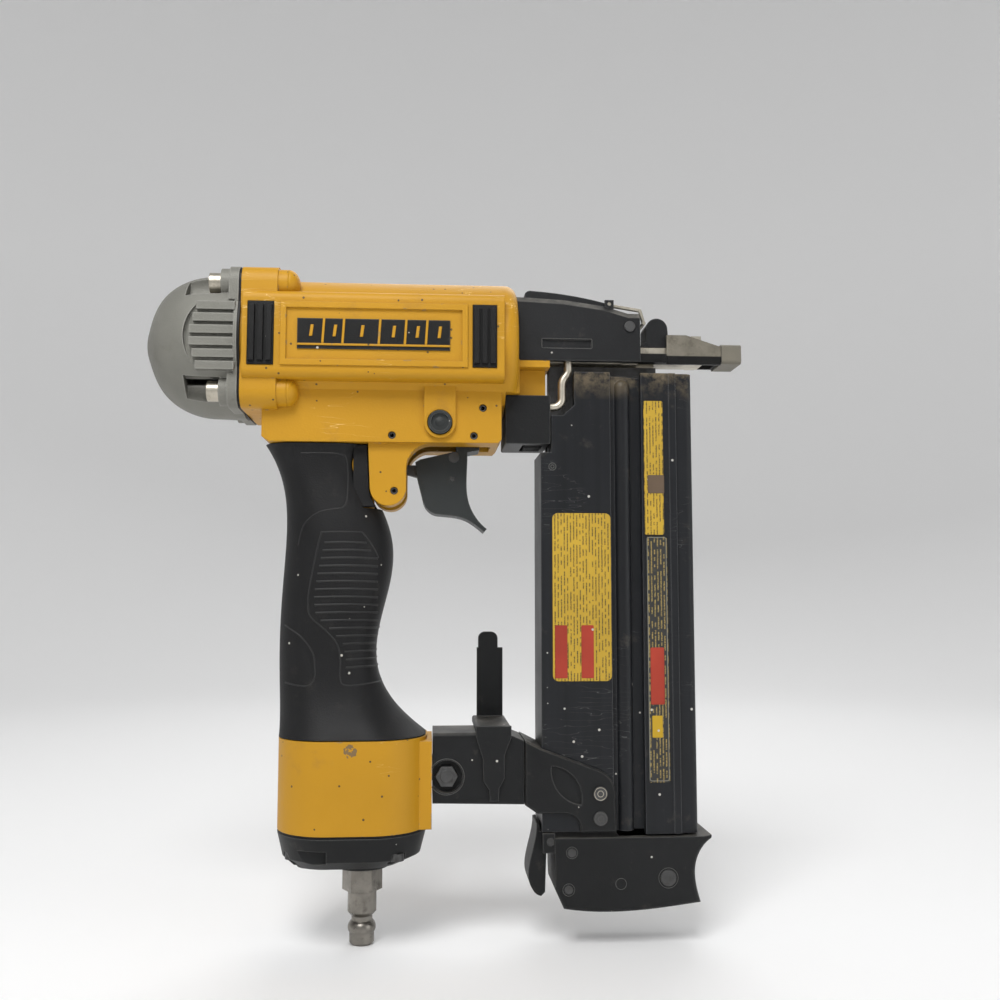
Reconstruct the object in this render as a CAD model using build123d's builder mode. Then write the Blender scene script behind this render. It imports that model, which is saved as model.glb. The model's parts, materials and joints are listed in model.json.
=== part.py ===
"""Pneumatic brad nailer as separate pieces, in millimetres.

+X is the drive direction, +Z is up, and -Y is the tool's right-hand side.
The origin is the centre of the nose tip's front face, on the driver's axis.
"""
import os
from math import cos, radians, sin

from build123d import *

os.makedirs("parts", exist_ok=True)

# ---- driving dimensions ----
BRAD_LENGTH = 45.0
BRAD_HEIGHT = 1.25

BARREL_FRONT = -98.0
BARREL_REAR = -211.0
BARREL_R = 28.8
CHAMBER_R = 24.5
PLATE_Y = 30.0
PLATE_TOP = 18.0

SLEEVE_IN_R = 17.0
SLEEVE_OUT_R = 19.0
SLEEVE_FRONT = -112.0
SLEEVE_FLANGE = -207.5
CHAMBER_FRONT = -118.0
CAP_FACE = -212.0
RUN = 0.06

FRAME_BOTTOM = -42.3
FRAME_FRONT = -105.0
FRAME_REAR = -203.0
FRAME_Y = 20.0
SLOT_Y = 7.5

BOLT_Y = 21.0
BOLT_Z = 22.4

BAND_TOP = -162.2
BAND_BOTTOM = -198.5
BAND_REAR = -195.5
BAND_FRONT = -135.0
BAND_Y = 27.0

CORE_X = -175.0
CORE_LENGTH = 34.0
CORE_WIDTH = 29.0
PLUG_X = -161.2

MAG_Y = 13.2
MAG_TOP = -10.4
MAG_BOTTOM = -202.4
MAG_REAR = -88.0
MAG_FRONT = -22.7
GUIDE_Y = 3.0

# pins, screws and shafts that run along Y, as (x, z)
PIVOT = (-116.4, -39.4)
LEVER_PIN = (-125.0, -55.9)
LOCK = (-130.5, -34.1)
VALVE_PIN = (-150.1, -39.4)
TONGUE_PIN = (-149.1, -62.1)
FRAME_PIN = (-112.7, -27.7)
COVER_SCREW = (-49.8, 9.3)
LATCH_AXLE = (-57.9, 19.9)
DOOR_PIN = (-19.2, 5.2)
ARM_BOLT = (-126.9, -178.3)
BRACKET_SCREWS = [(-64.3, -185.4), (-64.3, -195.3)]
PIN_R = 1.5
PIN_HOLE_R = 1.6

VALVE_X = -147.0
VALVE_R = 6.5
WHEEL_Z = -33.9
LINK_Y = -10.2
LINK_Z = -25.3
DRIVER_Y = 1.5
DRIVER_Z = 0.6
BEAD_X = -53.1
BEAD_Y = MAG_Y - 3.0
BEAD_R = 3.5
BEAD_TOP = MAG_TOP - 2.6
RAIL_BOTTOM = -200.8
BRACKET_Y = 15.2

# screws of the base end cap, as (x, y)
BASE_SCREWS = [(-188, 13), (-188, -13), (-147, 19), (-147, -19)]
BASE_FLOOR = -209.0
PLUG_SEAT = -215.8
SEAT_X = [(-207.9, -197.3), (-117.5, -107.5)]
SEAT_Z = 13.0


def block(x, y, z, mode=Mode.ADD):
    """Box between the given low and high values along each axis."""
    with Locations(((x[0] + x[1]) / 2, (y[0] + y[1]) / 2, (z[0] + z[1]) / 2)):
        Box(x[1] - x[0], y[1] - y[0], z[1] - z[0], mode=mode)


def rod_x(x0, x1, y, z, r, mode=Mode.ADD):
    """Cylinder along X."""
    with Locations(((x0 + x1) / 2, y, z)):
        Cylinder(r, abs(x1 - x0), rotation=(0, 90, 0), mode=mode)


def rod_y(x, y0, y1, z, r, mode=Mode.ADD):
    """Cylinder along Y."""
    with Locations((x, (y0 + y1) / 2, z)):
        Cylinder(r, abs(y1 - y0), rotation=(90, 0, 0), mode=mode)


def rod_z(x, y, z0, z1, r, mode=Mode.ADD):
    """Cylinder along Z."""
    with Locations((x, y, (z0 + z1) / 2)):
        Cylinder(r, abs(z1 - z0), mode=mode)


def side_plate(points, half_width, mode=Mode.ADD):
    """Straight-sided outline in the XZ plane, made equally to both sides of it."""
    with BuildSketch(Plane.XZ) as outline:
        with BuildLine():
            Polyline(*points, close=True)
        make_face()
    extrude(outline.sketch, amount=half_width, both=True, mode=mode)


def save(builder, name):
    """Label a finished piece and write its STEP file."""
    builder.part.label = name
    export_step(builder.part, f"parts/{name}.step")


def coil_x(x0, x1, y, z, r, wire, turns):
    """Compression spring along X, closed as one swept solid."""
    pitch = (x1 - x0) / turns
    with BuildPart() as coil:
        with BuildLine():
            path = Helix(pitch, x1 - x0, r, center=(x0, y, z), direction=(1, 0, 0))
        with BuildSketch(Plane(origin=path @ 0, z_dir=path % 0)):
            Circle(wire)
        sweep()
    return coil


def coil_z(z0, z1, x, y, r, wire, turns):
    """Compression spring along Z."""
    pitch = (z1 - z0) / turns
    with BuildPart() as coil:
        with BuildLine():
            path = Helix(pitch, z1 - z0, r, center=(x, y, z0))
        with BuildSketch(Plane(origin=path @ 0, z_dir=path % 0)):
            Circle(wire)
        sweep()
    return coil


def ring_x(x, r, wire):
    """O-ring about the driver's axis."""
    with Locations((x, 0, 0)):
        Torus(r, wire, rotation=(0, 90, 0))


# ---- main housing: barrel, trigger frame, handle tube and base band in one casting ----
PANEL = (-194.7, -119.4, -13.0, 13.0)
BOSS_R = 6.5
BOSS_RISE = 1.6
BUTTON_R = 3.84
BUTTON_HEAD_R = 4.9
BUTTON_STEP = -16.0
DOME_R = 3.6
with BuildPart() as main_housing:
    rod_x(BARREL_REAR, BARREL_FRONT, 0, 0, BARREL_R)
    fillet(main_housing.edges().filter_by(GeomType.CIRCLE).sort_by(Axis.X)[-1:], 5)
    block((-210, -104.4), (-PLATE_Y, PLATE_Y), (-PLATE_TOP, PLATE_TOP))
    fillet(
        main_housing.faces().filter_by(Plane.XZ).edges().filter_by(Axis.X), 3.5
    )
    # rear flange with a boss for each cap bolt
    with BuildSketch(Plane.YZ.offset(BARREL_REAR)):
        RectangleRounded(2 * BOLT_Y + 13, 2 * BOLT_Z + 14, 7)
    extrude(amount=14.5)
    for y in (-BOLT_Y, BOLT_Y):
        for z in (-BOLT_Z, BOLT_Z):
            rod_x(BARREL_REAR, -192.5, y, z, 6)
    # trigger frame under the barrel
    side_plate(
        [
            (FRAME_REAR, 0),
            (FRAME_REAR, FRAME_BOTTOM + 2),
            (FRAME_REAR + 3, FRAME_BOTTOM),
            (FRAME_FRONT - 1.5, FRAME_BOTTOM),
            (FRAME_FRONT, FRAME_BOTTOM + 1.5),
            (FRAME_FRONT, 0),
        ],
        FRAME_Y,
    )
    # front shelf: wide upper ledge over a narrow web
    block((FRAME_FRONT - 2, -84.2), (-15, 15), (-9.1, -6.2))
    side_plate([(-107, -8), (-85.4, -8), (-85.4, -20.7), (-107, -20.7)], 8)
    block((-108, -97.2), (-17, 17), (-20.7, -6.2))
    # tongue that hangs down behind the trigger
    with BuildSketch(Plane.XZ):
        with BuildLine():
            Polyline((-160, -40), (-159, -61.5), (-158.9, -61.5))
            ThreePointArc((-158.9, -61.5), (-151.5, -68.2), (-144.2, -61.5))
            Line((-144.2, -61.5), (-144.2, -53))
            ThreePointArc((-144.2, -53), (-141.2, -45.4), (-133.6, FRAME_BOTTOM))
            Line((-133.6, FRAME_BOTTOM), (-133.6, -40))
            Line((-133.6, -40), (-160, -40))
        make_face()
    extrude(amount=17.5, both=True)
    # handle tube
    with BuildSketch(Plane.XY.offset(-38)):
        with Locations((CORE_X, 0)):
            RectangleRounded(CORE_LENGTH, CORE_WIDTH, 12)
    extrude(amount=BAND_BOTTOM + 38)
    # base band
    with BuildSketch(Plane.XY.offset(BAND_TOP)):
        with Locations(((BAND_REAR + BAND_FRONT) / 2, 0)):
            RectangleRounded(BAND_FRONT - BAND_REAR, 2 * BAND_Y, 22)
    extrude(amount=BAND_BOTTOM - BAND_TOP)
    block((-150, -132.9), (-16, 16), (BAND_BOTTOM, BAND_TOP - 1.5))
    # cylinder chamber and blade slot
    rod_x(BARREL_REAR - 1, CHAMBER_FRONT, 0, 0, CHAMBER_R, Mode.SUBTRACT)
    rod_x(CHAMBER_FRONT - 1, -104.2, 0, 0, SLEEVE_OUT_R + RUN, Mode.SUBTRACT)
    rod_x(-105, BARREL_FRONT + 1, 0, 0, 5, Mode.SUBTRACT)
    # air reservoir from the chamber down to the base
    with BuildSketch(Plane.XY.offset(BAND_BOTTOM)):
        with Locations((CORE_X, 0)):
            RectangleRounded(CORE_LENGTH - 8, CORE_WIDTH - 8, 8)
    extrude(amount=-BAND_BOTTOM - 15, mode=Mode.SUBTRACT)
    with BuildSketch(Plane.XY.offset(BAND_BOTTOM)):
        with Locations(((BAND_REAR + BAND_FRONT) / 2, 0)):
            RectangleRounded(BAND_FRONT - BAND_REAR - 14, 2 * BAND_Y - 14, 14)
    extrude(amount=24, mode=Mode.SUBTRACT)
    # trigger slot, valve bore, pin holes and lock button bore
    block((-156, -109), (-SLOT_Y, SLOT_Y), (-70, -34), Mode.SUBTRACT)
    rod_z(VALVE_X, 0, -46, -19, VALVE_R, Mode.SUBTRACT)
    for x, z in (PIVOT, VALVE_PIN, TONGUE_PIN, FRAME_PIN):
        rod_y(x, -FRAME_Y - 3, FRAME_Y + 3, z, PIN_HOLE_R, Mode.SUBTRACT)
    # U-shaped boss around each end of the lock button, and the button's stepped bore
    for side in (-1, 1):
        boss_y = sorted((side * (FRAME_Y - 1), side * (FRAME_Y + BOSS_RISE)))
        rod_y(LOCK[0], *boss_y, LOCK[1], BOSS_R)
        block((LOCK[0] - BOSS_R, LOCK[0] + BOSS_R), boss_y, (LOCK[1], -PLATE_TOP))
    rod_y(LOCK[0], -FRAME_Y - 3, FRAME_Y + 3, LOCK[1], BUTTON_R + RUN, Mode.SUBTRACT)
    rod_y(LOCK[0], -FRAME_Y - 3, BUTTON_STEP, LOCK[1], BUTTON_HEAD_R + 0.3, Mode.SUBTRACT)
    # room for the front block under the barrel's front edge
    block((-103.2, -80), (-30, 30), (-30, -20.85), Mode.SUBTRACT)
    # raised frame and seat of the name inlay, and seats of the side bumpers
    for side in (-1, 1):
        frame_y = sorted((side * (PLATE_Y - 1), side * (PLATE_Y + 0.7)))
        block((PANEL[0], PANEL[1]), frame_y, (PANEL[2], PANEL[3]))
        field_y = sorted((side * (PLATE_Y - 0.3), side * (PLATE_Y + 2)))
        block((PANEL[0] + 2.3, PANEL[1] - 2.3), field_y, (PANEL[2] + 2.5, PANEL[3] - 2.5),
              Mode.SUBTRACT)
        y_seat = sorted((side * (PLATE_Y - 1), side * (PLATE_Y + 1)))
        for seat in SEAT_X:
            block(seat, y_seat, (-SEAT_Z, SEAT_Z), Mode.SUBTRACT)
    # cap bolt holes, end cap screw holes and the bracket bolt hole
    for y in (-BOLT_Y, BOLT_Y):
        for z in (-BOLT_Z, BOLT_Z):
            rod_x(BARREL_REAR - 1, -196, y, z, 2.5, Mode.SUBTRACT)
    for x, y in BASE_SCREWS:
        rod_z(x, y, BAND_BOTTOM - 1, -186, 1.7, Mode.SUBTRACT)
save(main_housing, "main_housing")

# ---- grip overmold: rubber sleeve over the handle tube ----
GRIP_SECTIONS = [
    (-42.6, -181.8, 42.0, 37.0, 12),
    (-64.5, -175.7, 38.3, 35.0, 15),
    (-106.8, -174.2, 43.0, 37.0, 16),
    (-145.0, -173.8, 44.0, 37.0, 16),
    (-155.0, -169.5, 52.0, 44.0, 19),
    (-161.9, -165.5, 60.0, 52.0, 21),
]
with BuildPart() as grip_overmold:
    for z, x, length, width, r in GRIP_SECTIONS:
        with BuildSketch(Plane.XY.offset(z)):
            with Locations((x, 0)):
                RectangleRounded(length, width, r)
    loft()
    with BuildSketch(Plane.XY.offset(-40)):
        with Locations((CORE_X, 0)):
            RectangleRounded(CORE_LENGTH, CORE_WIDTH, 12)
    extrude(amount=-130, mode=Mode.SUBTRACT)
    block((-162, -130), (-17.6, 17.6), (-69, -40), Mode.SUBTRACT)
save(grip_overmold, "grip_overmold")

# ---- rear cap: domed casting over the cylinder's rear ----
BOLT_SEAT = -219.5
BOLT_HOLE_R = 2.7
RIB_PITCH = 4.9
RIB_COUNT = 6
with BuildPart() as rear_cap:
    with BuildSketch(Plane.XZ):
        with BuildLine():
            Line((CAP_FACE, 0), (CAP_FACE, 30.5))
            Line((CAP_FACE, 30.5), (-226.0, 30.0))
            Spline((-226.0, 30.0), (-238.0, 27.0), (-247.5, 18.8), (-252.4, 8.0), (-253.7, 0),
                   tangents=[(-1, -0.04), (0, -1)])
            Line((-253.7, 0), (CAP_FACE, 0))
        make_face()
    revolve(axis=Axis.X)
    with BuildSketch(Plane.YZ.offset(CAP_FACE)):
        RectangleRounded(2 * BOLT_Y + 13, 2 * BOLT_Z + 14, 7)
    extrude(amount=-4)
    for y in (-BOLT_Y, BOLT_Y):
        for z in (-BOLT_Z, BOLT_Z):
            rod_x(BOLT_SEAT, -234, y, z, 6.4, Mode.SUBTRACT)
            rod_x(CAP_FACE, BOLT_SEAT, y, z, 6)
            rod_x(CAP_FACE + 1, BOLT_SEAT - 1.5, y, z, BOLT_HOLE_R, Mode.SUBTRACT)
    rod_x(-211, -239, 0, 0, CHAMBER_R, Mode.SUBTRACT)
    rod_x(-238, -248, 0, 0, 8, Mode.SUBTRACT)
    # D-shaped recess on each side, filled with level ribs
    for side in (-1, 1):
        face_y = 31.0 * side
        with BuildSketch(Plane.XZ.offset(-face_y)):
            with BuildLine():
                Line((-213.5, 14.2), (-226, 14.2))
                ThreePointArc((-226, 14.2), (-233.4, -1), (-226, -16.2))
                Line((-226, -16.2), (-213.5, -16.2))
                Line((-213.5, -16.2), (-213.5, 14.2))
            make_face()
        extrude(amount=4.2 * side, mode=Mode.SUBTRACT)
        for rib in range(RIB_COUNT):
            z = 11.2 - RIB_PITCH * rib
            reach = -231.6 + abs(rib - (RIB_COUNT - 1) / 2) * 1.3
            rib_y = sorted((side * 25.4, side * 29.4))
            block((reach, -213), rib_y, (z - 1.7, z + 1.7))
save(rear_cap, "rear_cap")

# ---- gasket between cap and barrel ----
with BuildPart() as cap_gasket:
    with BuildSketch(Plane.YZ.offset(BARREL_REAR)):
        RectangleRounded(2 * BOLT_Y + 12.4, 2 * BOLT_Z + 13.4, 7)
        Circle(30.3)
        Circle(CHAMBER_R, mode=Mode.SUBTRACT)
        with GridLocations(2 * BOLT_Y, 2 * BOLT_Z, 2, 2):
            Circle(BOLT_HOLE_R, mode=Mode.SUBTRACT)
    extrude(amount=-1.0)
save(cap_gasket, "cap_gasket")

# ---- four cap bolts with socket heads ----
with BuildPart() as cap_bolts:
    for y in (-BOLT_Y, BOLT_Y):
        for z in (-BOLT_Z, BOLT_Z):
            rod_x(BOLT_SEAT - 5, BOLT_SEAT, y, z, 4.2)
            rod_x(BOLT_SEAT, -196.5, y, z, 2.45)
    for y in (-BOLT_Y, BOLT_Y):
        for z in (-BOLT_Z, BOLT_Z):
            with BuildSketch(Plane.YZ.offset(BOLT_SEAT - 5)):
                with Locations((y, z)):
                    RegularPolygon(2.3, 6)
            extrude(amount=2.5, mode=Mode.SUBTRACT)
save(cap_bolts, "cap_bolts")

# ---- cylinder sleeve ----
SLEEVE_RINGS = [(-209.0, CHAMBER_R - RUN - 0.6), (-115.5, SLEEVE_OUT_R - 0.6)]
GROOVE_R = 0.75
RING_R = 0.62
VALVE_RING_R = 5.85
VALVE_RINGS = (-26.0, -33.0)
PORT_COUNT = 8
with BuildPart() as cylinder_sleeve:
    rod_x(SLEEVE_FLANGE, SLEEVE_FRONT, 0, 0, SLEEVE_OUT_R)
    rod_x(SLEEVE_FLANGE - 3, SLEEVE_FLANGE, 0, 0, CHAMBER_R - RUN)
    rod_x(-211, -111, 0, 0, SLEEVE_IN_R, Mode.SUBTRACT)
    for x, r in SLEEVE_RINGS:
        with Locations((x, 0, 0)):
            Torus(r, GROOVE_R, rotation=(0, 90, 0), mode=Mode.SUBTRACT)
    for k in range(PORT_COUNT):
        a = radians(360 / PORT_COUNT * k)
        with BuildSketch(Plane(origin=(-124, 0, 0), z_dir=(0, cos(a), sin(a)))):
            Circle(1.2)
        extrude(amount=24, mode=Mode.SUBTRACT)
save(cylinder_sleeve, "cylinder_sleeve")

# ---- O-rings of the sleeve and of the trigger valve ----
with BuildPart() as orings:
    for x, r in SLEEVE_RINGS:
        ring_x(x, r, RING_R)
    for z in VALVE_RINGS:
        with Locations((VALVE_X, 0, z)):
            Torus(VALVE_RING_R, RING_R)
save(orings, "orings")

# ---- piston bumper in front of the sleeve's end ----
with BuildPart() as piston_bumper:
    rod_x(-113.3, -104.4, 0, 0, SLEEVE_IN_R - 0.3)
    rod_x(-114, -103, 0, 0, 5, Mode.SUBTRACT)
    fillet(piston_bumper.edges().filter_by(GeomType.CIRCLE).sort_by(Axis.X)[0:2], 1.5)
save(piston_bumper, "piston_bumper")

# ---- piston with its ring, and the driver blade ----
with BuildPart() as piston:
    rod_x(-207, -197, 0, 0, SLEEVE_IN_R - RUN)
    rod_x(-197, -195.8, 0, 0, 6)
    rod_x(-208, -202, 0, 0, 12, Mode.SUBTRACT)
    rod_x(-203.3, -200.7, 0, 0, SLEEVE_IN_R + 1, Mode.SUBTRACT)
    rod_x(-203.3, -200.7, 0, 0, SLEEVE_IN_R - 2)
    block((-202.0, -195), (-DRIVER_Y - 0.02, DRIVER_Y + 0.02), (-DRIVER_Z - 0.02, DRIVER_Z + 0.02),
          Mode.SUBTRACT)
save(piston, "piston")

with BuildPart() as piston_ring:
    rod_x(-203.1, -200.9, 0, 0, SLEEVE_IN_R - 0.03)
    rod_x(-204, -200, 0, 0, SLEEVE_IN_R - 1.95, Mode.SUBTRACT)
save(piston_ring, "piston_ring")

with BuildPart() as driver_blade:
    block((-201.9, -83.0), (-DRIVER_Y, DRIVER_Y), (-DRIVER_Z, DRIVER_Z))
save(driver_blade, "driver_blade")

# ---- head valve behind the sleeve, its seal and its spring ----
with BuildPart() as head_valve:
    rod_x(-223, -211.0, 0, 0, CHAMBER_R - 0.35)
    rod_x(-219.2, -216.8, 0, 0, CHAMBER_R, Mode.SUBTRACT)
    rod_x(-219.2, -216.8, 0, 0, CHAMBER_R - 2.2)
    rod_x(-224, -214, 0, 0, 13.5, Mode.SUBTRACT)
    rod_x(-228, -213, 0, 0, 8.5)
save(head_valve, "head_valve")

with BuildPart() as head_valve_seal:
    ring_x(-218.0, CHAMBER_R - 1.12, 1.05)
save(head_valve_seal, "head_valve_seal")

head_valve_spring = coil_x(-237.6, -215.4, 0, 0, 11, 0.9, 5)
save(head_valve_spring, "head_valve_spring")

# ---- ribbed rubber bumpers on the barrel's sides ----
with BuildPart() as side_bumpers:
    for side in (-1, 1):
        for seat in SEAT_X:
            x0, x1 = seat[0] + 0.1, seat[1] - 0.1
            lows = sorted((side * (PLATE_Y - 1), side * (PLATE_Y + 0.4)))
            block((x0, x1), lows, (-SEAT_Z + 0.1, SEAT_Z - 0.1))
            ribs = sorted((side * PLATE_Y, side * (PLATE_Y + 1.5)))
            step = (x1 - x0) / 3
            for k in range(3):
                middle = x0 + step * (k + 0.5)
                block((middle - 1.1, middle + 1.1), ribs, (-11.4, 11.4))
save(side_bumpers, "side_bumpers")

# ---- plain inlay in each name frame ----
with BuildPart() as name_inlays:
    for side in (-1, 1):
        lows = sorted((side * (PLATE_Y - 0.3), side * (PLATE_Y + 0.25)))
        block((-188, -126.6), lows, (-6.2, 6.2))
save(name_inlays, "name_inlays")

# ---- trigger valve: body, O-rings, stem and spring ----
with BuildPart() as valve_body:
    rod_z(VALVE_X, 0, -44.5, -19.2, VALVE_R - 0.05)
    rod_z(VALVE_X, 0, -45, -18, 3.2, Mode.SUBTRACT)
    rod_z(VALVE_X, 0, -44.5, -41.0, 4)
    rod_z(VALVE_X, 0, -45, -40, 1.36, Mode.SUBTRACT)
    for z in VALVE_RINGS:
        with Locations((VALVE_X, 0, z)):
            Torus(VALVE_RING_R, GROOVE_R, mode=Mode.SUBTRACT)
    rod_y(VALVE_PIN[0], -10, 10, VALVE_PIN[1], PIN_HOLE_R, Mode.SUBTRACT)
save(valve_body, "valve_body")

with BuildPart() as valve_stem:
    rod_z(VALVE_X, 0, -48.4, -36, 1.3)
    rod_z(VALVE_X, 0, -37.0, -34.8, 3.0)
save(valve_stem, "valve_stem")

valve_spring = coil_z(-34.3, -20.2, VALVE_X, 0, 2.3, 0.35, 6)
save(valve_spring, "valve_spring")

# ---- trigger, with a slot for its lever ----
with BuildPart() as trigger:
    with BuildSketch(Plane.XZ):
        with BuildLine():
            Line((-123.2, -36.0), (-113.5, -36.0))
            Line((-113.5, -36.0), (-113.5, -43.5))
            Line((-113.5, -43.5), (-118.6, -44.5))
            Spline((-118.6, -44.5), (-118.9, -56), (-117.9, -66), (-114.3, -73), (-110.3, -77.0))
            Line((-110.3, -77.0), (-111.4, -78.3))
            Spline((-111.4, -78.3), (-115.5, -75), (-119.8, -72.6), (-126, -71.3), (-130.6, -70.9))
            ThreePointArc((-130.6, -70.9), (-134.6, -69.4), (-137.2, -65.4))
            Line((-137.2, -65.4), (-139.9, -54.5))
            Line((-139.9, -54.5), (-140.6, -48.8))
            Line((-140.6, -48.8), (-138.4, -47.6))
            Line((-138.4, -47.6), (-123.2, -44.0))
            Line((-123.2, -44.0), (-123.2, -36.0))
        make_face()
    extrude(amount=6.6, both=True)
    block((-145, -121.5), (-2.4, 2.4), (-60, -42), Mode.SUBTRACT)
    rod_y(PIVOT[0], -8, 8, PIVOT[1], 1.55, Mode.SUBTRACT)
    rod_y(LEVER_PIN[0], -8, 8, LEVER_PIN[1], 1.1, Mode.SUBTRACT)
save(trigger, "trigger")

# ---- roll pins: the trigger's pivot, the valve's two pins and the frame pin ----
ROLL_PINS = [(PIVOT, 19.2), (VALVE_PIN, 19.2), (TONGUE_PIN, 16.7), (FRAME_PIN, 19.2)]
with BuildPart() as roll_pins:
    for (x, z), half in ROLL_PINS:
        rod_y(x, -half, half, z, PIN_R)
        rod_y(x, -20, 20, z, 0.8, Mode.SUBTRACT)
save(roll_pins, "roll_pins")

with BuildPart() as trip_lever:
    side_plate([(-149.2, -52.0), (-149.2, -49.6), (-140, -49.6), (-125, -52.6), (-122.4, -54.5),
                (-122.6, -58.4), (-127, -58.6)], 2.0)
    rod_y(LEVER_PIN[0], -8, 8, LEVER_PIN[1], 1.05, Mode.SUBTRACT)
save(trip_lever, "trip_lever")

# ---- the lever's pin, and a screw head on each side of the trigger ----
with BuildPart() as trigger_pins:
    rod_y(LEVER_PIN[0], -6.7, 6.7, LEVER_PIN[1], 1.0)
    for side in (-1, 1):
        head = sorted((side * 6.6, side * 7.1))
        rod_y(-124.3, *head, -46.6, 2.3)
save(trigger_pins, "trigger_pins")

# ---- lock button: a bar through the frame with a finger face on each end ----
with BuildPart() as lock_button:
    rod_y(LOCK[0], -22.6, 18.2, LOCK[1], BUTTON_R)
    rod_y(LOCK[0], -22.6, -20.4, LOCK[1], BUTTON_HEAD_R)
    rod_y(LOCK[0], -23, -21.6, LOCK[1], BUTTON_HEAD_R - 1.2, Mode.SUBTRACT)
    with Locations((LOCK[0], -22.3 + DOME_R, LOCK[1])):
        Sphere(DOME_R)
save(lock_button, "lock_button")

# ---- front block: hollow housing of the depth wheel and the trip link ----
with BuildPart() as front_block:
    block((-102.9, -84.0), (-14.2, 14.2), (-41.6, -21.0))
    fillet(front_block.edges().filter_by(Axis.Y), 0.8)
    block((-99, -83), (-12.6, 12.6), (-34, -20), Mode.SUBTRACT)
    block((-95.4, -86.6), (-9.8, 9.8), (-43, -33), Mode.SUBTRACT)
    rod_x(-101.2, -85.5, 0, WHEEL_Z, PIN_R + 0.05, Mode.SUBTRACT)
save(front_block, "front_block")

NOTCH_COUNT = 18
with BuildPart() as depth_wheel:
    rod_x(-94.4, -87.6, 0, WHEEL_Z, 8.9)
    for k in range(NOTCH_COUNT):
        a = radians(360 / NOTCH_COUNT * k)
        rod_x(-95, -87, 9.3 * cos(a), WHEEL_Z + 9.3 * sin(a), 0.9, Mode.SUBTRACT)
    rod_x(-95, -87, 0, WHEEL_Z, PIN_R + 0.05, Mode.SUBTRACT)
save(depth_wheel, "depth_wheel")

with BuildPart() as depth_screw:
    rod_x(-101.2, -85.5, 0, WHEEL_Z, PIN_R)
save(depth_screw, "depth_screw")

# ---- nose guide: the steel channel that the blade runs in ----
GUIDE_FRONT = -15.9
with BuildPart() as nose_guide:
    block((-98, -45), (-8.2, 8.2), (-5.6, 4))
    block((-45.5, GUIDE_FRONT), (-5.8, 5.8), (-4.6, 2.2))
    block((-99, -11), (-DRIVER_Y - 0.08, DRIVER_Y + 0.08), (-DRIVER_Z - 0.08, DRIVER_Z + 0.08),
          Mode.SUBTRACT)
    block((-82.6, -36.4), (-0.9, 0.9), (-6, 0), Mode.SUBTRACT)
    # room for the contact trip's lower plate when it is pushed back
    block((-52, -44), (-9, -6.7), (-6, -1.2), Mode.SUBTRACT)
    # ears of the jam door's hinge
    for side in (-1, 1):
        ears = sorted((side * 5.7, side * 6.8))
        block((-21.4, -17), ears, (-4.6, 2.2))
        ears = sorted((side * 6.1, side * 6.8))
        block((-21.4, -17), ears, (2.0, 7.4))
    rod_y(DOOR_PIN[0], -8, 8, DOOR_PIN[1], 1.0, Mode.SUBTRACT)
save(nose_guide, "nose_guide")

# ---- nose cover: dark shell over the guide ----
COVER_TOP = [(-98, 22.0), (-78, 21.0), (-60.2, 18.6), (-50, 15.6), (-45.2, 15.6)]
with BuildPart() as nose_cover:
    side_plate([(-98, -5.8), *COVER_TOP, (-45.2, -5.8)], 14)
    cover_sides = nose_cover.faces().filter_by(Plane.XZ)
    chamfer(cover_sides.edges().filter_by(lambda e: e.center().Z > 15.5), 2.5)
    side_plate([(-99, -7), (-99, 19.5), (-78, 18.6), (-60.5, 16.2), (-51, 13.4), (-47, 13.4),
                (-47, -7)], 12, Mode.SUBTRACT)
    block((-48, -44), (-10.0, 10.0), (-7, 4.4), Mode.SUBTRACT)
    block((-48, -44), (-12.2, 12.2), (-7, -1.2), Mode.SUBTRACT)
    # lugs that carry the latch's axle
    for side in (-1, 1):
        lug = sorted((side * 9.5, side * 11))
        block((-59.8, -56.0), lug, (14, 21.6))
    rod_y(LATCH_AXLE[0], -12, 12, LATCH_AXLE[1], 0.8, Mode.SUBTRACT)
    for side in (-1, 1):
        cut = sorted((side * 13, side * 15))
        block((-87.2, -66.3), cut, (-0.3, 3.3), Mode.SUBTRACT)
    rod_y(COVER_SCREW[0], -15, 15, COVER_SCREW[1], 1.3, Mode.SUBTRACT)
save(nose_cover, "nose_cover")

with BuildPart() as nose_screws:
    for side in (-1, 1):
        ends = sorted((side * 9.4, side * 14.2))
        rod_y(COVER_SCREW[0], *ends, COVER_SCREW[1], 1.25)
        head = sorted((side * 14.0, side * 14.8))
        rod_y(COVER_SCREW[0], *head, COVER_SCREW[1], 2.3)
save(nose_screws, "nose_screws")

# ---- jam-clear door over the front of the channel, and its latch ----
with BuildPart() as jam_door:
    block((-42.2, -19.2), (-5.8, 5.8), (2.4, 4.6))
    with BuildSketch(Plane.XZ):
        with BuildLine():
            Line((-41.0, 3), (-41.0, 11))
            ThreePointArc((-41.0, 11), (-36.8, 15.2), (-31.6, 11.2))
            Line((-31.6, 11.2), (-31.0, 3))
            Line((-31.0, 3), (-41.0, 3))
        make_face()
    extrude(amount=5.8, both=True)
    rod_y(DOOR_PIN[0], -5.8, 5.8, DOOR_PIN[1], 2.4)
    rod_y(DOOR_PIN[0], -7, 7, DOOR_PIN[1], 1.06, Mode.SUBTRACT)
save(jam_door, "jam_door")

with BuildPart() as jam_door_pin:
    rod_y(DOOR_PIN[0], -6.6, 6.6, DOOR_PIN[1], 1.0)
save(jam_door_pin, "jam_door_pin")

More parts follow.
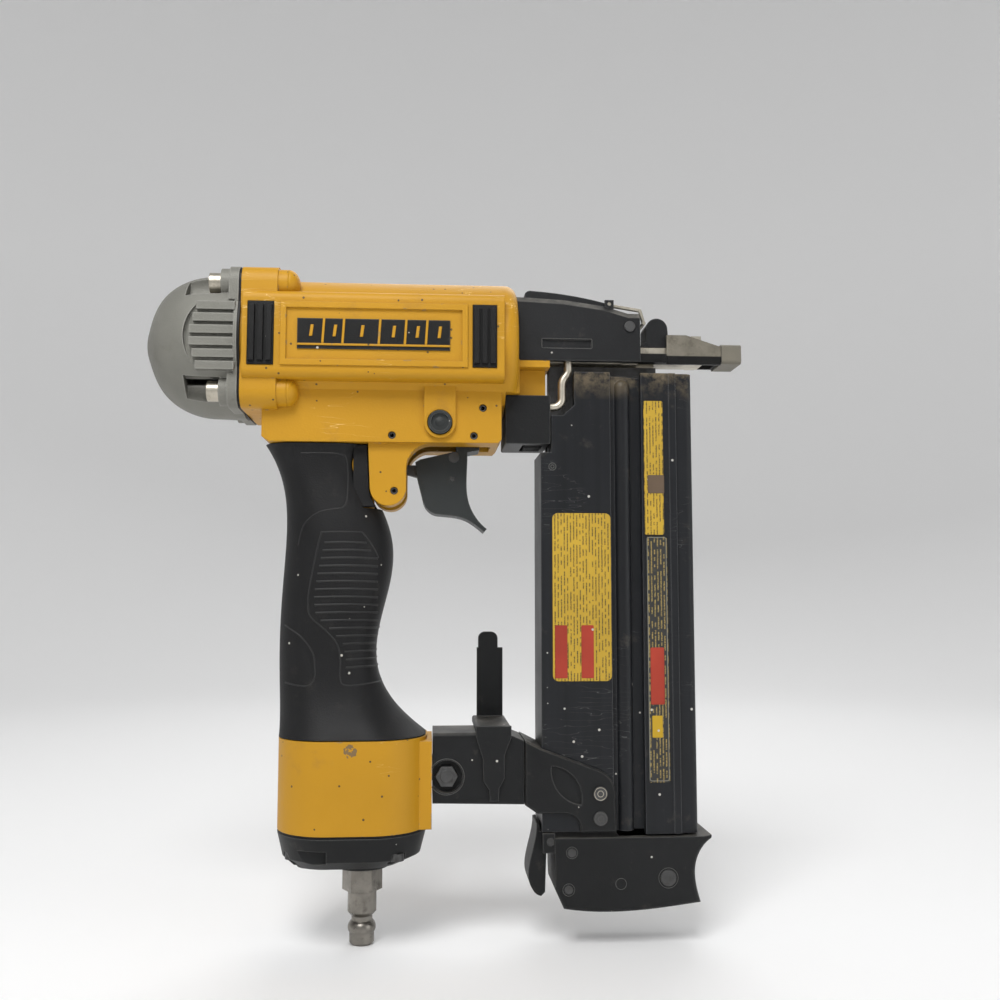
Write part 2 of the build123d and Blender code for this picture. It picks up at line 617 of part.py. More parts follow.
with BuildPart() as jam_latch:
    with BuildSketch(Plane.XZ):
        with BuildLine():
            Line((-94, 22.4), (-94, 24.8))
            ThreePointArc((-94, 24.8), (-92.6, 26.0), (-91, 26.1))
            Spline((-91, 26.1), (-78, 24.9), (-66, 22.9), (-57.5, 20.9))
            Line((-57.5, 20.9), (-56.6, 19.1))
            Line((-56.6, 19.1), (-60, 19.4))
            Spline((-60, 19.4), (-69, 20.6), (-78, 21.6), (-94, 22.4))
        make_face()
    extrude(amount=7, both=True)
    rod_y(LATCH_AXLE[0], -7, 7, LATCH_AXLE[1], 1.6)
    rod_y(LATCH_AXLE[0], -9, 9, LATCH_AXLE[1], 0.86, Mode.SUBTRACT)
save(jam_latch, "jam_latch")

BAIL_END = (-42.6, 12.2)
with BuildPart() as jam_bail:
    # wire bail from the latch down to the door's arch
    for side in (-1, 1):
        with BuildLine() as bail_line:
            Polyline((LATCH_AXLE[0], side * 8.4, LATCH_AXLE[1]), (-44.2, side * 8.4, 17.8),
                     (BAIL_END[0], side * 8.4, BAIL_END[1]))
        with BuildSketch(Plane(origin=bail_line.line @ 0, z_dir=bail_line.line % 0)):
            Circle(0.8)
        sweep(transition=Transition.ROUND)
    rod_y(LATCH_AXLE[0], -10.9, 10.9, LATCH_AXLE[1], 0.75)
    rod_y(BAIL_END[0], -9.2, 9.2, BAIL_END[1], 0.8)
save(jam_bail, "jam_bail")

# ---- contact trip: arms beside the channel, nose block, link bar and wire link ----
with BuildPart() as contact_trip:
    for side in (-1, 1):
        with BuildSketch(Plane.XZ.offset(-side * 7.1)):
            with BuildLine():
                Polyline((-32.6, -4.0), (-32.6, 7.4), (-24, 7.4), (-9.6, 2.8), (-1.2, 2.6),
                         (-1.2, -4.0), close=True)
            make_face()
        extrude(amount=-side * 1.3)
    block((-9.5, -1.2), (-7.2, 7.2), (-4.0, 2.4))
    block((-10, 0), (-2.2, 2.2), (-1.6, 1.6), Mode.SUBTRACT)
    # lower plate under the guide and the link bar beside it
    block((-45, -9), (-8.4, -7.1), (-5.4, -3.8))
    block((-78, -33.5), (-11.7, -9.4), (-5.4, -1.6))
    block((-44.6, -33), (-10, -7.1), (-5.4, -1.6))
save(contact_trip, "contact_trip")

with BuildPart() as wire_link:
    with BuildLine() as link_path:
        Line((-75.9, LINK_Y, -5.4), (-75.9, LINK_Y, -9.2))
        Spline((-75.9, LINK_Y, -9.2), (-77.6, LINK_Y, -12.8), (-78.6, LINK_Y, -16.2),
               tangents=[(0, 0, -1), (0, 0, -1)])
        Line((-78.6, LINK_Y, -16.2), (-78.6, LINK_Y, -21.6))
        ThreePointArc((-78.6, LINK_Y, -21.6), (-79.7, LINK_Y, -24.2), (-82.2, LINK_Y, LINK_Z))
        Line((-82.2, LINK_Y, LINK_Z), (-90.5, LINK_Y, LINK_Z))
    with BuildSketch(Plane(origin=link_path.line @ 0, z_dir=link_path.line % 0)):
        Circle(1.75)
    sweep()
save(wire_link, "wire_link")

with BuildPart() as no_mar_tip:
    block((-8.6, 0), (-9.0, 9.0), (-4.9, 3.6))
    fillet(no_mar_tip.edges().filter_by(Axis.X), 1.6)
    block((-9, -1.1), (-8.4, 8.4), (-4.0, 2.8), Mode.SUBTRACT)
    block((-2, 1), (-2.2, 2.2), (-1.6, 1.6), Mode.SUBTRACT)
save(no_mar_tip, "no_mar_tip")

trip_spring = coil_x(-98.3, -91.4, LINK_Y, LINK_Z, 1.5, 0.35, 4)
save(trip_spring, "trip_spring")

# ---- magazine rail: the fixed rear channel, with a bead along its front edge ----
with BuildPart() as magazine_rail:
    block((MAG_REAR, -58.4), (-MAG_Y, MAG_Y), (RAIL_BOTTOM, MAG_TOP))
    for side in (-1, 1):
        rod_z(BEAD_X, side * BEAD_Y, RAIL_BOTTOM, BEAD_TOP - BEAD_R, BEAD_R)
        with Locations((BEAD_X, side * BEAD_Y, BEAD_TOP - BEAD_R)):
            Sphere(BEAD_R)
    block((-58.4, -51), (-11.4, 11.4), (RAIL_BOTTOM, MAG_TOP - 1.5))
    block((-51, -38.4), (-9.4, 9.4), (RAIL_BOTTOM, MAG_TOP - 1.5))
    # hollow middle, open to the front between the tongues
    block((-85.6, -38), (-7.6, 7.6), (-202, -8), Mode.SUBTRACT)
    # notch that the wire link moves in
    side_plate([(-89, -8), (-73.6, -8), (-73.6, -24.6), (-78.6, -29.2), (-83.4, -29.2),
                (-83.4, -45), (-89, -45)], 16, Mode.SUBTRACT)
    for x, z in BRACKET_SCREWS:
        rod_y(x, -16, 16, z, PIN_HOLE_R, Mode.SUBTRACT)
save(magazine_rail, "magazine_rail")

# ---- brad guide rail: steel channel that holds the strip on edge ----
GUIDE_REAR = -83.4
TIE_HEIGHTS = (-60, -120, -180)
with BuildPart() as guide_rail:
    block((GUIDE_REAR, -36.4), (-GUIDE_Y, GUIDE_Y), (-200.6, -6.1))
    for z in TIE_HEIGHTS:
        block((-60, -52), (-7.6, 7.6), (z - 4, z + 4))
    block((-82.2, -35), (-0.85, 0.85), (-202, -5), Mode.SUBTRACT)
save(guide_rail, "guide_rail")

# ---- brad strip: brads side by side, glued, with a small head at the rear ----
STRIP_COUNT = 56
STRIP_REAR = -81.8
STRIP_TOP = -1.0
STRIP_LOW = STRIP_TOP - STRIP_COUNT * BRAD_HEIGHT
with BuildPart() as brad_strip:
    block((STRIP_REAR, STRIP_REAR + BRAD_LENGTH), (-0.5, 0.5), (STRIP_LOW, STRIP_TOP))
    block((STRIP_REAR, STRIP_REAR + 1.2), (-0.8, 0.8), (STRIP_LOW, STRIP_TOP))
    with BuildSketch(Plane.YZ.offset(STRIP_REAR + 1.3)):
        with Locations((0, (STRIP_LOW + STRIP_TOP) / 2)):
            with GridLocations(1.0, BRAD_HEIGHT, 2, STRIP_COUNT - 1):
                Rectangle(0.2, 0.2)
    extrude(amount=BRAD_LENGTH, mode=Mode.SUBTRACT)
save(brad_strip, "brad_strip")

# ---- pusher under the strip, with its coiled band spring ----
COIL_X = -31.2
COIL_Z = STRIP_LOW - 14
with BuildPart() as pusher:
    block((-80, -36.0), (-0.6, 0.6), (STRIP_LOW - 9, STRIP_LOW - 0.3))
    block((-36.1, -34.0), (-5, 5), (STRIP_LOW - 20, STRIP_LOW - 0.3))
    rod_y(COIL_X, -4.6, 4.6, COIL_Z, 4.8)
    rod_y(COIL_X, -3.4, 3.4, COIL_Z, 6, Mode.SUBTRACT)
    rod_y(COIL_X, -4.6, 4.6, COIL_Z, 1.4)
    block((-36.5, -30), (-4.6, -3.6), (STRIP_LOW - 18, STRIP_LOW - 10))
    block((-36.5, -30), (3.6, 4.6), (STRIP_LOW - 18, STRIP_LOW - 10))
save(pusher, "pusher")

with BuildPart() as pusher_band:
    rod_y(COIL_X, -3.2, 3.2, COIL_Z, 4.2)
    rod_y(COIL_X, -5, 5, COIL_Z, 1.6, Mode.SUBTRACT)
save(pusher_band, "pusher_band")

# ---- magazine cover: the front channel, which slides down to load ----
with BuildPart() as magazine_cover:
    block((-45.1, -31.6), (-MAG_Y + 0.4, MAG_Y - 0.4), (MAG_BOTTOM, MAG_TOP))
    for side in (-1, 1):
        lows = sorted((side * 9, side * (MAG_Y - 0.1)))
        block((-33.2, -30.2), lows, (MAG_BOTTOM, MAG_TOP))
    block((-31.6, MAG_FRONT), (-11.6, 11.6), (MAG_BOTTOM, MAG_TOP))
    fillet(magazine_cover.edges().filter_by(Axis.Z).group_by(Axis.X)[-1], 3)
    block((-46, -37.6), (-9.7, 9.7), (MAG_BOTTOM - 1, MAG_TOP + 1), Mode.SUBTRACT)
    block((-38, -25.0), (-8.6, 8.6), (MAG_BOTTOM - 1, MAG_TOP + 1), Mode.SUBTRACT)
save(magazine_cover, "magazine_cover")

# ---- magazine end cap, with a waist for the fingers ----
LATCH_X = -84.6
LATCH_Z = -204.6
CAP_RIVETS = [(-76.0, -208.9, 1.7), (-77.4, -223.5, 1.7), (-36.5, -219.5, 3.2)]
with BuildPart() as magazine_end_cap:
    with BuildSketch(Plane.XZ):
        with BuildLine():
            Line((-83.0, -203.2), (-21.5, -203.2))
            Line((-21.5, -203.2), (-18.3, -202.6))
            Line((-18.3, -202.6), (-18.1, -204.4))
            Spline((-18.1, -204.4), (-23.0, -209.8), (-24.9, -216.1), (-24.2, -224.4),
                   (-22.8, -229.7))
            Spline((-22.8, -229.7), (-39.1, -231.7), (-62.4, -232.9), (-79.2, -231.4))
            Line((-79.2, -231.4), (-82.6, -224.0))
            Line((-82.6, -224.0), (-83.0, -203.2))
        make_face()
    extrude(amount=14.6, both=True)
    long_edges = magazine_end_cap.faces().filter_by(Plane.XZ).edges().filter_by(
        lambda e: e.center().Z < -204 and e.center().X > -82)
    fillet(long_edges, 2.2)
    # hollow under the brad channel, open at the top
    block((-56, -26.6), (-11.0, 11.0), (-222, -200), Mode.SUBTRACT)
    # lugs for the latch lever
    for side in (-1, 1):
        lug = sorted((side * 9.4, side * 14.2))
        block((-87.8, -82.8), lug, (-209, -201.2))
    rod_y(LATCH_X, -16, 16, LATCH_Z, 1.5, Mode.SUBTRACT)
    for x, z, r in CAP_RIVETS:
        for side in (-1, 1):
            hole = sorted((side * 13, side * 16))
            rod_y(x, *hole, z, r, Mode.SUBTRACT)
save(magazine_end_cap, "magazine_end_cap")

with BuildPart() as end_cap_rivets:
    for side in (-1, 1):
        for x, z, r in CAP_RIVETS:
            ends = sorted((side * 13, side * 14.9))
            rod_y(x, *ends, z, r)
save(end_cap_rivets, "end_cap_rivets")

# ---- magazine latch lever, its pin and its spring ----
with BuildPart() as latch_lever:
    with BuildSketch(Plane.XZ):
        with BuildLine():
            Line((-88.6, -198.2), (-89.8, -198.4))
            Spline((-89.8, -198.4), (-91.0, -207.0), (-92.8, -214.4), (-93.2, -219.8),
                   (-91.6, -224.4))
            Spline((-91.6, -224.4), (-90.2, -226.2), (-88.0, -227.2))
            Line((-88.0, -227.2), (-86.4, -225.6))
            Line((-86.4, -225.6), (-85.8, -209.4))
            Line((-85.8, -209.4), (-84.2, -205.6))
            Line((-84.2, -205.6), (-84.2, -202.4))
            Line((-84.2, -202.4), (-86, -201.4))
            Line((-86, -201.4), (-88.6, -201.4))
            Line((-88.6, -201.4), (-88.6, -198.2))
        make_face()
    extrude(amount=9.0, both=True)
    rod_y(LATCH_X, -9.0, 9.0, LATCH_Z, 2.6)
    block((-83.5, -80), (-10, 10), (-230, -190), Mode.SUBTRACT)
    rod_y(LATCH_X, -10, 10, LATCH_Z, 1.55, Mode.SUBTRACT)
save(latch_lever, "latch_lever")

with BuildPart() as latch_pin:
    rod_y(LATCH_X, -14.4, 14.4, LATCH_Z, 1.5)
save(latch_pin, "latch_pin")

# ---- bracket between handle and magazine: arm, and plate around the magazine ----
with BuildPart() as bracket_arm:
    side_plate([(-132.6, -160.8), (-103.5, -160.8), (-95.2, -164.2), (-95.2, -189.6),
                (-132.6, -188.8)], 13.4)
    fillet(bracket_arm.edges().filter_by(Axis.X), 1.6)
    block((-131, -97.5), (-11, 11), (-186.5, -163.5), Mode.SUBTRACT)
    for side in (-1, 1):
        ends = sorted((side * 9.2, side * 13.4))
        rod_y(ARM_BOLT[0], *ends, ARM_BOLT[1], 7.8)
        ends = sorted((side * 10.2, side * 14))
        rod_y(ARM_BOLT[0], *ends, ARM_BOLT[1], 6.5, Mode.SUBTRACT)
    rod_y(ARM_BOLT[0], -14, 14, ARM_BOLT[1], 2.6, Mode.SUBTRACT)
    block((-140, -132.7), (-15, 15), (-195, -155), Mode.SUBTRACT)
save(bracket_arm, "bracket_arm")

with BuildPart() as magazine_bracket:
    with BuildSketch(Plane.XZ):
        with BuildLine():
            Line((-95.0, -163.9), (-88.4, -167.2))
            Line((-88.4, -167.2), (-64.2, -176.2))
            ThreePointArc((-64.2, -176.2), (-59.6, -180.2), (-58.0, -188.3))
            Line((-58.0, -188.3), (-57.6, -200.8))
            Line((-57.6, -200.8), (-72.6, -200.8))
            ThreePointArc((-72.6, -200.8), (-73.6, -196.0), (-78.0, -193.4))
            Line((-78.0, -193.4), (-90.0, -193.2))
            Line((-90.0, -193.2), (-95.0, -189.8))
            Line((-95.0, -189.8), (-95.0, -163.9))
        make_face()
    extrude(amount=BRACKET_Y, both=True)
    plate_edges = magazine_bracket.faces().filter_by(Plane.XZ).edges()
    chamfer(plate_edges, 0.6)
    block((MAG_REAR, -50), (-MAG_Y, MAG_Y), (-205, -160), Mode.SUBTRACT)
    for side in (-1, 1):
        rod_z(BEAD_X, side * BEAD_Y, -205, -160, BEAD_R + 0.1, Mode.SUBTRACT)
    # leaf-shaped recess on each side
    with BuildSketch(Plane.XZ) as leaf:
        with BuildLine():
            ThreePointArc((-84.2, -174.2), (-75.6, -178.0), (-72.0, -190.0))
            ThreePointArc((-72.0, -190.0), (-80.6, -185.6), (-84.2, -174.2))
        make_face()
    for side in (-1, 1):
        with Locations((0, -side * (BRACKET_Y - 1.2), 0)):
            add(extrude(leaf.sketch, amount=side * 3, mode=Mode.PRIVATE), mode=Mode.SUBTRACT)
    for x, z in BRACKET_SCREWS:
        rod_y(x, -16, 16, z, PIN_HOLE_R, Mode.SUBTRACT)
save(magazine_bracket, "magazine_bracket")

# ---- bolt and nut that hold the arm ----
with BuildPart() as bracket_bolt:
    rod_y(ARM_BOLT[0], -13.0, 10.3, ARM_BOLT[1], 2.5)
    rod_y(ARM_BOLT[0], 10.2, 13.2, ARM_BOLT[1], 4.6)
    with BuildSketch(Plane.XZ.offset(10.2)):
        with Locations(ARM_BOLT):
            RegularPolygon(4.6, 6)
            Circle(2.5, mode=Mode.SUBTRACT)
    extrude(amount=2.6)
save(bracket_bolt, "bracket_bolt")

with BuildPart() as magazine_screws:
    for side in (-1, 1):
        for x, z in BRACKET_SCREWS:
            shank = sorted((side * 8.5, side * BRACKET_Y))
            rod_y(x, *shank, z, 1.55)
            head = sorted((side * BRACKET_Y, side * (BRACKET_Y + 0.8)))
            rod_y(x, *head, z, 2.9)
save(magazine_screws, "magazine_screws")

# ---- belt hook: saddle over the arm, with the hook on the tool's left side ----
with BuildPart() as belt_hook:
    block((-115.0, -100.6), (-15.0, 25.0), (-160.6, -158.0))
    block((-113.8, -100.8), (13.7, 16.2), (-176.0, -158.0))
    fillet(belt_hook.edges().filter_by(Axis.Y).group_by(Axis.Z)[-1], 1.0)
    block((-113.0, -101.6), (22.0, 25.0), (-160.0, -128.0))
    block((-112.4, -103.8), (22.0, 25.0), (-128.2, -121.0))
    fillet(belt_hook.edges().filter_by(Axis.Y).group_by(Axis.Z)[-1], 3)
    # spring clip on the right side of the arm
    with BuildSketch(Plane.XZ.offset(13.5)):
        with BuildLine():
            Polyline((-115.0, -158.0), (-115.0, -162.6), (-112.2, -171.4), (-112.0, -180.2),
                     (-109.6, -183.6), (-109.4, -188.0), (-105.8, -188.0), (-105.6, -183.0),
                     (-103.4, -179.0), (-103.4, -169.8), (-100.6, -162.6), (-100.6, -158.0),
                     close=True)
        make_face()
    extrude(amount=1.5)
save(belt_hook, "belt_hook")

# ---- base end cap under the band, its gasket and screws ----
with BuildPart() as end_cap_gasket:
    with BuildSketch(Plane.XY.offset(BAND_BOTTOM)):
        with Locations(((BAND_REAR + BAND_FRONT) / 2, 0)):
            RectangleRounded(BAND_FRONT - BAND_REAR - 1, 2 * BAND_Y - 1, 21)
            RectangleRounded(BAND_FRONT - BAND_REAR - 14, 2 * BAND_Y - 14, 14, mode=Mode.SUBTRACT)
        with Locations(*BASE_SCREWS):
            Circle(1.9, mode=Mode.SUBTRACT)
    extrude(amount=-1.0)
save(end_cap_gasket, "end_cap_gasket")

with BuildPart() as base_end_cap:
    with BuildSketch(Plane.XY.offset(BAND_BOTTOM - 1.0)):
        with Locations(((BAND_REAR + BAND_FRONT) / 2, 0)):
            RectangleRounded(BAND_FRONT - BAND_REAR, 2 * BAND_Y, 22)
    with BuildSketch(Plane.XY.offset(BASE_FLOOR)):
        with Locations((-165.4, 0)):
            RectangleRounded(56, 48, 20)
    loft()
    with BuildSketch(Plane.XY.offset(BASE_FLOOR)):
        with Locations((-165.4, 0)):
            RectangleRounded(56, 48, 20)
    with BuildSketch(Plane.XY.offset(BASE_FLOOR - 4)):
        with Locations((-167.5, 0)):
            RectangleRounded(44, 36, 15)
    loft()
    rod_z(PLUG_X, 0, -215.6, -200, 11)
    rod_z(-181, 0, -215.3, -200, 7)
    rod_z(PLUG_X, 0, -217, -195, 6.8, Mode.SUBTRACT)
    for x, y in BASE_SCREWS:
        rod_z(x, y, -216, -195, 1.9, Mode.SUBTRACT)
        rod_z(x, y, -216, -206.5, 3.6, Mode.SUBTRACT)
    block((-186, -174), (-27, -21.5), (-210, -204.5), Mode.SUBTRACT)
save(base_end_cap, "base_end_cap")

with BuildPart() as end_cap_screws:
    for x, y in BASE_SCREWS:
        rod_z(x, y, -206.5, -187, 1.65)
        rod_z(x, y, -209.5, -206.5, 3.3)
    for x, y in BASE_SCREWS:
        with BuildSketch(Plane.XY.offset(-209.5)):
            with Locations((x, y)):
                RegularPolygon(1.7, 6)
        extrude(amount=2, mode=Mode.SUBTRACT)
save(end_cap_screws, "end_cap_screws")

# ---- air plug: threaded end, hexagon, neck and ball-ended nipple ----
with BuildPart() as air_plug:
    rod_z(PLUG_X, 0, PLUG_SEAT, -203, 6.75)
    with BuildSketch(Plane.XY.offset(PLUG_SEAT)):
        with Locations((PLUG_X, 0)):
            RegularPolygon(8.2, 6)
    extrude(amount=-9.4)
    with BuildSketch(Plane.XZ):
        with BuildLine():
            Polyline((PLUG_X, -225), (PLUG_X + 6.2, -225), (PLUG_X + 6.2, -225.2),
                     (PLUG_X + 5.9, -226), (PLUG_X + 5.9, -233.8), (PLUG_X + 4.3, -235.6),
                     (PLUG_X + 4.3, -237.4))
            ThreePointArc((PLUG_X + 4.3, -237.4), (PLUG_X + 5.7, -239.6), (PLUG_X + 5.1, -242.2))
            Polyline((PLUG_X + 5.1, -242.2), (PLUG_X + 5.1, -246.0), (PLUG_X + 4.2, -247.0),
                     (PLUG_X, -247.0), (PLUG_X, -225))
        make_face()
    revolve(axis=Axis((PLUG_X, 0, 0), (0, 0, 1)))
    rod_z(PLUG_X, 0, -248, -200, 2.8, Mode.SUBTRACT)
save(air_plug, "air_plug")

with BuildPart() as inlet_screen:
    rod_z(PLUG_X, 0, -202.9, -201.9, 6.7)
    with BuildSketch(Plane.XY.offset(-203)):
        with Locations((PLUG_X, 0)):
            with GridLocations(2.2, 2.2, 5, 5):
                Rectangle(1.3, 1.3)
    extrude(amount=2, mode=Mode.SUBTRACT)
save(inlet_screen, "inlet_screen")

# ---- blank labels on the magazine's right side ----
with BuildPart() as rear_label:
    with BuildSketch(Plane.XZ.offset(MAG_Y)):
        with Locations((-71.0, -105.4)):
            RectangleRounded(24.6, 69.6, 2.4)
    extrude(amount=0.25)
save(rear_label, "rear_label")

with BuildPart() as front_labels:
    with BuildSketch(Plane.XZ.offset(MAG_Y - 0.4)):
        with Locations((-40.0, -51.0)):
            RectangleRounded(8.2, 57, 0.8)
        with Locations((-39.2, -131.0)):
            RectangleRounded(8.8, 101.4, 1.0)
    extrude(amount=0.25)
save(front_labels, "front_labels")
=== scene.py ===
"""Looks of the brad nailer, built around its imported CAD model. Metres, in the CAD frame."""
import json
import math

import bpy
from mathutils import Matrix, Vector


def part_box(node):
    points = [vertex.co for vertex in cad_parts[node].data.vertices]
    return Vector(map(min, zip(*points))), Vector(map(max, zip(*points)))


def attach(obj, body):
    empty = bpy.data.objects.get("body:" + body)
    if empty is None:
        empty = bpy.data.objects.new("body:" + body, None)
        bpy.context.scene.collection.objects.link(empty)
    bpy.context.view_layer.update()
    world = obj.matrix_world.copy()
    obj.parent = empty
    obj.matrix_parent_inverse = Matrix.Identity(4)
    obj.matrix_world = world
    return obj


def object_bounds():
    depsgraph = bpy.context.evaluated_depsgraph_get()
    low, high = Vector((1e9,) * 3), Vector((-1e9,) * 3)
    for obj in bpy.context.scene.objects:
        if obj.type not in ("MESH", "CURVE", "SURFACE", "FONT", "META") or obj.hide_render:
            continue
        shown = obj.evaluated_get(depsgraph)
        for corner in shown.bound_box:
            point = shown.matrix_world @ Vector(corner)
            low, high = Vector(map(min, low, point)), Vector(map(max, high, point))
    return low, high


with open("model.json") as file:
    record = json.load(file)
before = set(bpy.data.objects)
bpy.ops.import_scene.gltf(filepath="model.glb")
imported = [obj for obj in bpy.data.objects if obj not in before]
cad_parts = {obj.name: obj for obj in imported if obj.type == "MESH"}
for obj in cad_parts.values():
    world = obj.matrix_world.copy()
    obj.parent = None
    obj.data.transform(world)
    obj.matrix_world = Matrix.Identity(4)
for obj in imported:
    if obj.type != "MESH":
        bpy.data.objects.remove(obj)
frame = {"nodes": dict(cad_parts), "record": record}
cad_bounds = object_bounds()
NODES = frame["nodes"]
LOW, HIGH = Vector(cad_bounds[0]), Vector(cad_bounds[1])
CENTRE = (LOW + HIGH) / 2
MM = 0.001


# ---------------------------------------------------------------- camera, stage and light
def add_camera():
    """Camera level with the grip, looking slightly up and slightly from the rear."""
    azimuth, elevation, distance = math.radians(-4.0), math.radians(-5.2), 0.45
    aim_forward, aim_up = 0.0226, 0.0442
    target = Vector((CENTRE.x + aim_forward, 0, CENTRE.z + aim_up))
    away = Vector((
        math.cos(elevation) * math.sin(azimuth),
        -math.cos(elevation) * math.cos(azimuth),
        math.sin(elevation),
    ))
    data = bpy.data.cameras.new("camera")
    data.lens = 37.67
    data.sensor_width = 36.0
    data.clip_start = 0.01
    camera = bpy.data.objects.new("camera", data)
    camera.location = target + away * distance
    camera.rotation_euler = (-away).to_track_quat("-Z", "Y").to_euler()
    bpy.context.scene.collection.objects.link(camera)
    bpy.context.scene.camera = camera


def add_stage():
    """Round pale floor that curves up into a wall all the way round."""
    floor_z = LOW.z
    flat, bend, wall, bend_steps, steps = 1.1, 0.9, 2.2, 12, 64
    rings = [(radius, floor_z) for radius in (0.0001, 0.3, 0.7, flat)]
    for k in range(1, bend_steps + 1):
        angle = math.radians(90 * k / bend_steps)
        rings.append((flat + bend * math.sin(angle), floor_z + bend * (1 - math.cos(angle))))
    rings.append((flat + bend, floor_z + bend + wall))
    vertices = []
    for radius, z in rings:
        for k in range(steps):
            angle = 2 * math.pi * k / steps
            vertices.append((CENTRE.x + radius * math.cos(angle), radius * math.sin(angle), z))
    faces = []
    for r in range(len(rings) - 1):
        for k in range(steps):
            a, b = r * steps + k, r * steps + (k + 1) % steps
            faces.append((a, b, b + steps, a + steps))
    mesh = bpy.data.meshes.new("stage")
    mesh.from_pydata(vertices, [], faces)
    mesh.shade_smooth()
    stage = bpy.data.objects.new("stage", mesh)
    bpy.context.scene.collection.objects.link(stage)
    stage.data.materials.append(stage_material())


def stage_material():
    material = bpy.data.materials.new("stage_paper")
    material.use_nodes = True
    shader = material.node_tree.nodes["Principled BSDF"]
    shader.inputs["Base Color"].default_value = (0.93, 0.93, 0.93, 1)
    shader.inputs["Roughness"].default_value = 0.9
    return material


def add_area_light(name, place, aim, size, power):
    data = bpy.data.lights.new(name, "AREA")
    data.size = size
    data.energy = power
    light = bpy.data.objects.new(name, data)
    light.location = place
    light.rotation_euler = (Vector(aim) - Vector(place)).to_track_quat("-Z", "Y").to_euler()
    bpy.context.scene.collection.objects.link(light)


def add_lights():
    """Soft light from above in front, a weaker fill, a back light, and an even pale world."""
    add_area_light("key", (-0.35, -0.70, 0.75), CENTRE, 0.5, 9)
    add_area_light("fill", (0.8, -0.6, 0.0), CENTRE, 0.7, 2)
    add_area_light("back", (0.1, 0.9, 0.8), CENTRE, 0.8, 5)
    world = bpy.data.worlds.new("world")
    world.use_nodes = True
    background = world.node_tree.nodes["Background"]
    background.inputs["Color"].default_value = (1, 1, 1, 1)
    background.inputs["Strength"].default_value = 0.38
    bpy.context.scene.world = world
    bpy.context.scene.view_settings.view_transform = "Standard"


# ---------------------------------------------------------------- material helpers
# sockets of the Mix node when it mixes colours
MIX_FACTOR, MIX_A, MIX_B, MIX_RESULT = 0, 6, 7, 2
BEVEL_SAMPLES = 4
# how far the rounded normal has to lean from the plain one to count as an edge
EDGE_FROM, EDGE_TO = 0.02, 0.25


